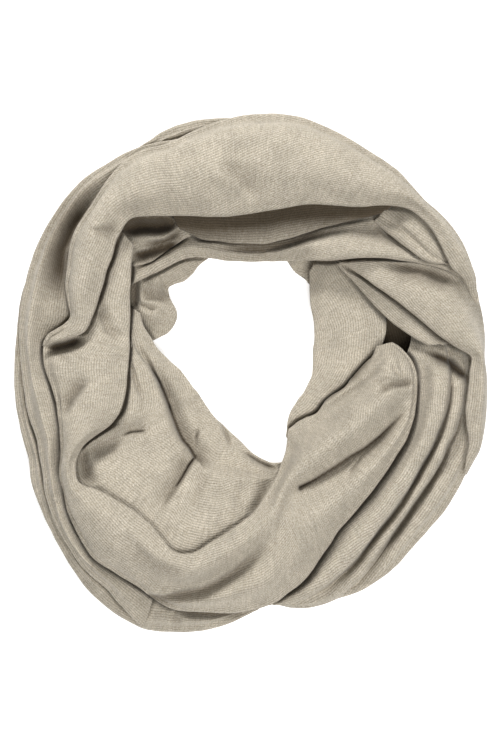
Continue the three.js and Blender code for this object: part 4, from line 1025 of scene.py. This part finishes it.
def knit_material(sizes):
    """Heather wool blend, machine knitted in fine stockinette: matt, with ribs of small
    slanted stitches, dark lines between them and flecks of lighter and darker fibre, and
    painted shade that darkens it at the bottoms of creases and in the gaps under edges."""
    material = bpy.data.materials.get("heather_wool_stockinette")
    if material:
        return material
    material = bpy.data.materials.new("heather_wool_stockinette")
    material.use_nodes = True
    tree = material.node_tree
    tree.nodes.clear()

    def maths(operation, a, b=None, **more):
        settings = {"operation": operation, **more}
        links = {}
        for key, value in (("0", a), ("1", b)):
            if value is None:
                continue
            if isinstance(value, (int, float)):
                settings[key] = value
            else:
                links[key] = value
        return add(tree, "ShaderNodeMath", settings, links).outputs[0]

    uv = add(tree, "ShaderNodeUVMap", {"uv_map": "ribs"}).outputs[0]
    place = add(tree, "ShaderNodeTexCoord").outputs["Object"]
    # The ribs wander a little, as knit that was stretched by hand does
    wander = add(tree, "ShaderNodeTexNoise", {"Scale": 1 / 0.022, "Detail": 1.0},
                 {"Vector": uv})
    shift = add(tree, "ShaderNodeVectorMath", {"operation": "SUBTRACT", "1": (0.5, 0.5, 0.5)},
                {"0": wander.outputs["Color"]})
    shift = add(tree, "ShaderNodeVectorMath", {"operation": "SCALE", "Scale": 0.0022},
                {"0": shift.outputs[0]})
    bent = add(tree, "ShaderNodeVectorMath", {"operation": "ADD"},
               {"0": uv, "1": shift.outputs[0]})
    axes = add(tree, "ShaderNodeSeparateXYZ", {}, {"0": bent.outputs[0]})
    course = maths("DIVIDE", axes.outputs[0], sizes.course)
    rib = maths("FRACT", maths("DIVIDE", axes.outputs[1], sizes.rib))
    from_middle = maths("MULTIPLY", maths("ABSOLUTE", maths("SUBTRACT", rib, 0.5)), 2)
    # Each rib is a row of V stitches, so the yarn slants back on both sides of its middle
    slant = maths("ADD", course, maths("MULTIPLY", from_middle, 0.55))
    stitch = maths("MULTIPLY_ADD", maths("SINE", maths("MULTIPLY", slant, 2 * math.pi)), 0.5)
    stitch.node.inputs[2].default_value = 0.5
    groove = maths("POWER", from_middle, 3)
    crown = maths("SUBTRACT", 1, groove)
    relief = maths("ADD", maths("MULTIPLY", crown, 0.8), maths("MULTIPLY", stitch, 0.2))

    # Fibre flecks are some 0.3 mm wide; they are drawn at 1 mm, so that they show
    fleck = add(tree, "ShaderNodeTexNoise", {"Scale": 1 / 0.0011, "Detail": 2.0,
                                             "Roughness": 0.7}, {"Vector": place})
    flecks = add(tree, "ShaderNodeValToRGB", {}, {"Fac": fleck.outputs["Fac"]})
    ramp = flecks.color_ramp
    ramp.elements[0].position, ramp.elements[0].color = 0.30, (*sizes.dark_fibre, 1)
    ramp.elements[1].position, ramp.elements[1].color = 0.72, (*sizes.light_fibre, 1)
    middle = ramp.elements.new(0.5)
    middle.color = (*sizes.yarn, 1)
    # Streaks along the yarn, a few stitches long and one row of stitches high
    row_scale = add(tree, "ShaderNodeMapping", {"vector_type": "POINT",
                                                "Scale": (1 / 0.0022, 1 / 0.012, 1)},
                    {"Vector": bent.outputs[0]})
    streak = add(tree, "ShaderNodeTexNoise", {"Scale": 1.0, "Detail": 2.0},
                 {"Vector": row_scale.outputs[0]})
    cloud = add(tree, "ShaderNodeTexNoise", {"Scale": 1 / 0.016, "Detail": 2.0},
                {"Vector": place})
    mottle = maths("ADD", maths("MULTIPLY", streak.outputs["Fac"], 0.5),
                   maths("MULTIPLY", cloud.outputs["Fac"], 0.35))
    bright = maths("ADD", mottle, 0.58)
    gaps = maths("MULTIPLY", groove, sizes.rib_contrast)
    holes = maths("MULTIPLY", maths("SUBTRACT", 1, stitch), sizes.stitch_contrast)
    bright = maths("MULTIPLY", bright, maths("SUBTRACT", 1, gaps))
    bright = maths("MULTIPLY", bright, maths("SUBTRACT", 1, holes))
    # Painted shade: the colour is mixed towards a dark brown at the bottoms of creases and in
    # the gaps under edges, where little light reaches
    painted_shade = add(tree, "ShaderNodeAttribute", {"attribute_name": "painted_shade"})
    shade = maths("MULTIPLY", painted_shade.outputs["Fac"], sizes.painted_crease_shade)
    tone = add(tree, "ShaderNodeVectorMath", {"operation": "SCALE"},
               {"0": flecks.outputs["Color"], "Scale": bright})
    tone = add(tree, "ShaderNodeMix", {"data_type": "RGBA", "B": (*sizes.painted_shade_colour, 1)},
               {"0": shade, "A": tone.outputs[0]})
    bump = add(tree, "ShaderNodeBump", {"Strength": 0.6, "Distance": 0.0006},
               {"Height": relief})
    cloth = add(tree, "ShaderNodeBsdfPrincipled",
                {"Roughness": 0.93, "Specular IOR Level": 0.25, "Sheen Weight": 0.12,
                 "Sheen Roughness": 0.5},
                {"Base Color": tone.outputs["Result"], "Normal": bump.outputs[0]})
    add(tree, "ShaderNodeOutputMaterial", {}, {"Surface": cloth.outputs[0]})
    return material


def floor_material(colour, glow):
    """White opal acrylic, cast and sanded: quite matt, and lit from below like a studio's
    light table, so that the shadows on it stay faint."""
    material = bpy.data.materials.new("opal_acrylic_light_table")
    material.use_nodes = True
    shader = material.node_tree.nodes["Principled BSDF"]
    shader.inputs["Base Color"].default_value = (*colour, 1)
    shader.inputs["Roughness"].default_value = 1.0
    shader.inputs["Emission Color"].default_value = (1, 1, 1, 1)
    shader.inputs["Emission Strength"].default_value = glow
    return material


# The hem's row of stitches near the ring's top, as pixels of the photograph
HEM_LINE = [(160, 140), (167, 136), (178, 130), (191, 125), (204, 122.5), (217, 122),
            (232, 120)]


def make_hem_stitches(sizes, material):
    """The hem's row of small stitches, each one a thin loop of yarn pressed into the knit."""
    cloth = bpy.data.objects["back_stretch_knit"].data
    tree = KDTree(len(cloth.vertices))
    for i, vert in enumerate(cloth.vertices):
        tree.insert((vert.co.x, vert.co.y, 0), i)
    tree.balance()
    nodes = [at_pixel(*p) * MM + np.array(AXIS) for p in HEM_LINE]
    spans = [np.linalg.norm(b - a) for a, b in zip(nodes, nodes[1:])]
    reached = np.concatenate([[0], np.cumsum(spans)])
    bm = bmesh.new()
    for at in np.arange(0, reached[-1] - sizes.stitch_length, sizes.stitch_pitch):
        ends = []
        for share in (at, at + sizes.stitch_length):
            x, y = (np.interp(share, reached, [n[k] for n in nodes]) for k in (0, 1))
            height = cloth.vertices[tree.find((x, y, 0))[1]].co.z
            ends.append(Vector((x, y, height)))
        run = ends[1] - ends[0]
        turn = run.to_track_quat("Z", "Y").to_matrix().to_4x4()
        bmesh.ops.create_uvsphere(
            bm, u_segments=8, v_segments=6, radius=1,
            matrix=Matrix.Translation((ends[0] + ends[1]) / 2) @ turn
            @ Matrix.Diagonal((sizes.stitch_yarn / 2, sizes.stitch_yarn / 2, run.length / 2, 1)))
    for face in bm.faces:
        face.smooth = True
    mesh = bpy.data.meshes.new("hem_stitches")
    bm.to_mesh(mesh)
    bm.free()
    mesh.materials.append(material)
    piece = bpy.data.objects.new("hem_stitches", mesh)
    bpy.context.scene.collection.objects.link(piece)
    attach(piece, "root")
    return piece


class ScarfSizes(bpy.types.PropertyGroup):
    """Sizes and colours of the knit, and of the painted shade in its creases."""

    cloth_wall: FloatProperty(
        name="Cloth wall", description="Thickness of the knit", default=0.002, unit="LENGTH")
    cell: FloatProperty(
        name="Cell", description="Side of one face of the cloth", default=0.0015,
        unit="LENGTH")
    wave_height: FloatProperty(
        name="Wave height", description="Height of the slight waves in the laid cloth",
        default=0.0011, unit="LENGTH")
    crease_strength: FloatProperty(
        name="Crease strength", description="Share of the creases' full depth",
        default=1.0, subtype="FACTOR")
    # Painted shade: how far the bottoms of creases and gaps are mixed towards the painted shade colour
    painted_crease_shade: FloatProperty(
        name="Crease shade", description="How far the creases' bottoms take on their colour",
        default=0.88, subtype="FACTOR")
    # Painted shade: a dark warm brown that stands in for the shade at the bottoms of creases and gaps
    painted_shade_colour: FloatVectorProperty(
        name="Crease colour", description="Colour of the wool where next to no light reaches",
        default=linear("#392b15"), subtype="COLOR")
    gap_depth: FloatProperty(
        name="Gap depth", description="Depth of the gaps under the stretches' edges",
        default=0.008, unit="LENGTH")
    rib: FloatProperty(
        name="Rib", description="Width of one rib of stitches", default=0.0021,
        unit="LENGTH")
    course: FloatProperty(
        name="Course", description="Height of one row of stitches", default=0.0018,
        unit="LENGTH")
    yarn: FloatVectorProperty(
        name="Yarn", description="Main colour of the yarn", default=linear("#b9b09f"),
        subtype="COLOR")
    dark_fibre: FloatVectorProperty(
        name="Dark fibre", description="Darkest fibres in the yarn",
        default=linear("#a39885"), subtype="COLOR")
    light_fibre: FloatVectorProperty(
        name="Light fibre", description="Lightest fibres in the yarn",
        default=linear("#d3cabb"), subtype="COLOR")
    stitch_length: FloatProperty(
        name="Stitch length", description="Length of one stitch of the hem", default=0.0017,
        unit="LENGTH")
    stitch_pitch: FloatProperty(
        name="Stitch pitch", description="Distance from one stitch of the hem to the next",
        default=0.0026, unit="LENGTH")
    stitch_yarn: FloatProperty(
        name="Stitch yarn", description="Thickness of the hem's yarn", default=0.0009,
        unit="LENGTH")
    rib_contrast: FloatProperty(
        name="Rib contrast", description="Darkness of the lines between the ribs",
        default=0.36, subtype="FACTOR")
    stitch_contrast: FloatProperty(
        name="Stitch contrast", description="Darkness between the stitches of a rib",
        default=0.1, subtype="FACTOR")


class StageSizes(bpy.types.PropertyGroup):
    """Floor, lights and camera."""

    floor_colour: FloatVectorProperty(
        name="Floor colour", description="Colour of the floor", default=linear("#fbfbfb"),
        subtype="COLOR")
    floor_glow: FloatProperty(
        name="Floor glow", description="Light that comes up through the floor", default=0.45)
    key_power: FloatProperty(
        name="Key light", description="Power of the large light above the scarf's top",
        default=38, unit="POWER")
    overhead_power: FloatProperty(
        name="Overhead light", description="Power of the wide light overhead",
        default=48, unit="POWER")
    fill_strength: FloatProperty(
        name="Fill light", description="Strength of the even light from all round",
        default=0.19)
    camera_height: FloatProperty(
        name="Camera height", description="Height of the camera above the floor",
        default=3.0, unit="LENGTH")


class SCARF_OT_top_stretches(bpy.types.Operator):
    """Lays the stretches across the ring's top and along the hole's top edge"""

    bl_idname = "scarf.top_stretches"
    bl_label = "Top stretches"
    names = ("top_stretch", "under_top_fold", "top_right_folds", "hole_top_band")

    def execute(self, context):
        sizes = context.scene.scarf_sizes
        for name in self.names:
            make_stretch(name, sizes, knit_material(sizes))
        return {"FINISHED"}


class SCARF_OT_right_stretches(bpy.types.Operator):
    """Lays the band, roll, panel and pleats on the ring's right side"""

    bl_idname = "scarf.right_stretches"
    bl_label = "Right stretches"
    names = ("right_band", "right_under_roll", "right_inner_panel", "right_stretch")

    def execute(self, context):
        sizes = context.scene.scarf_sizes
        for name in self.names:
            make_stretch(name, sizes, knit_material(sizes))
        return {"FINISHED"}


class SCARF_OT_swag_stretches(bpy.types.Operator):
    """Lays the swag round the bottom and the bowl inside it"""

    bl_idname = "scarf.swag_stretches"
    bl_label = "Swag stretches"
    names = ("swag_stretch", "inner_left_stretch")

    def execute(self, context):
        sizes = context.scene.scarf_sizes
        for name in self.names:
            make_stretch(name, sizes, knit_material(sizes))
        return {"FINISHED"}


class SCARF_OT_left_stretches(bpy.types.Operator):
    """Lays the outer roll, the corner's folds and its lobe, and the lowest stretch"""

    bl_idname = "scarf.left_stretches"
    bl_label = "Left and back stretches"
    names = ("outer_left_stretch", "corner_folds", "corner_lobe", "back_stretch")

    def execute(self, context):
        sizes = context.scene.scarf_sizes
        for name in self.names:
            make_stretch(name, sizes, knit_material(sizes))
        return {"FINISHED"}


class SCARF_OT_hidden_layers(bpy.types.Operator):
    """Makes the folded layers that lie under the stretches"""

    bl_idname = "scarf.hidden_layers"
    bl_label = "Hidden layers"

    def execute(self, context):
        sizes = context.scene.scarf_sizes
        make_hidden_layers(sizes, knit_material(sizes))
        return {"FINISHED"}


class SCARF_OT_hem_stitches(bpy.types.Operator):
    """Sews the hem's row of stitches near the ring's top"""

    bl_idname = "scarf.hem_stitches"
    bl_label = "Hem stitches"

    def execute(self, context):
        sizes = context.scene.scarf_sizes
        make_hem_stitches(sizes, knit_material(sizes))
        return {"FINISHED"}


def aim(obj, target):
    """Turns a light or camera towards a point."""
    obj.rotation_euler = (Vector(target) - obj.location).to_track_quat("-Z", "Y").to_euler()


class SCARF_OT_stage(bpy.types.Operator):
    """Sets up the floor, the soft lights and the camera straight above"""

    bl_idname = "scarf.stage"
    bl_label = "Stage"

    def execute(self, context):
        stage = context.scene.scarf_stage
        bm = bmesh.new()
        bmesh.ops.create_grid(bm, x_segments=1, y_segments=1, size=4)
        mesh = bpy.data.meshes.new("floor")
        bm.to_mesh(mesh)
        bm.free()
        floor = bpy.data.objects.new("floor", mesh)
        mesh.materials.append(floor_material(stage.floor_colour, stage.floor_glow))
        context.scene.collection.objects.link(floor)

        # A softbox low beyond the scarf's top, and a wide one overhead that lifts its shade
        for name, place, size, power in (
                ("key_light", (-0.35, 1.7, 1.25), 0.55, stage.key_power),
                ("overhead_light", (0.5, -0.9, 2.1), 1.8, stage.overhead_power)):
            light = bpy.data.lights.new(name, "AREA")
            light.shape, light.size, light.energy = "DISK", size, power
            lamp = bpy.data.objects.new(name, light)
            lamp.location = place
            aim(lamp, (0, 0, 0))
            context.scene.collection.objects.link(lamp)

        world = bpy.data.worlds.new("soft_studio")
        world.use_nodes = True
        sky = world.node_tree.nodes["Background"]
        sky.inputs["Color"].default_value = (1, 1, 1, 1)
        sky.inputs["Strength"].default_value = stage.fill_strength
        context.scene.world = world
        context.scene.view_settings.view_transform = "Standard"

        camera = bpy.data.cameras.new("camera")
        eye = bpy.data.objects.new("camera", camera)
        middle = [(PHOTO_SIZE[0] / 2 - AXIS_PIXEL[0]), (AXIS_PIXEL[1] - PHOTO_SIZE[1] / 2)]
        eye.location = (middle[0] * MM_PER_PIXEL * MM + AXIS.x,
                        middle[1] * MM_PER_PIXEL * MM + AXIS.y, stage.camera_height)
        # The lens takes in the photograph's height at the middle of the cloth's height
        seen = PHOTO_SIZE[1] * MM_PER_PIXEL * MM
        camera.lens = camera.sensor_width * (stage.camera_height - 0.04) / seen
        context.scene.collection.objects.link(eye)
        context.scene.camera = eye
        return {"FINISHED"}


class SCARF_PT_panel(bpy.types.Panel):
    """Lists the scarf's operators, sizes and colours"""

    bl_label = "Infinity scarf"
    bl_idname = "SCARF_PT_panel"
    bl_space_type = "VIEW_3D"
    bl_region_type = "UI"
    bl_category = "Scarf"

    def draw(self, context):
        for operator in OPERATORS:
            self.layout.operator(operator.bl_idname)
        for group in (context.scene.scarf_sizes, context.scene.scarf_stage):
            for key in group.__annotations__:
                self.layout.prop(group, key)


OPERATORS = (
    SCARF_OT_top_stretches, SCARF_OT_right_stretches, SCARF_OT_swag_stretches,
    SCARF_OT_left_stretches, SCARF_OT_hidden_layers, SCARF_OT_hem_stitches, SCARF_OT_stage,
)
CLASSES = (ScarfSizes, StageSizes, *OPERATORS, SCARF_PT_panel)


def register():
    for cls in CLASSES:
        bpy.utils.register_class(cls)
    bpy.types.Scene.scarf_sizes = PointerProperty(type=ScarfSizes)
    bpy.types.Scene.scarf_stage = PointerProperty(type=StageSizes)


def unregister():
    del bpy.types.Scene.scarf_stage
    del bpy.types.Scene.scarf_sizes
    for cls in reversed(CLASSES):
        bpy.utils.unregister_class(cls)


def main():
    register()
    for operator in OPERATORS:
        getattr(bpy.ops.scarf, operator.bl_idname.split(".")[1])()


if __name__ == "__main__":
    main()
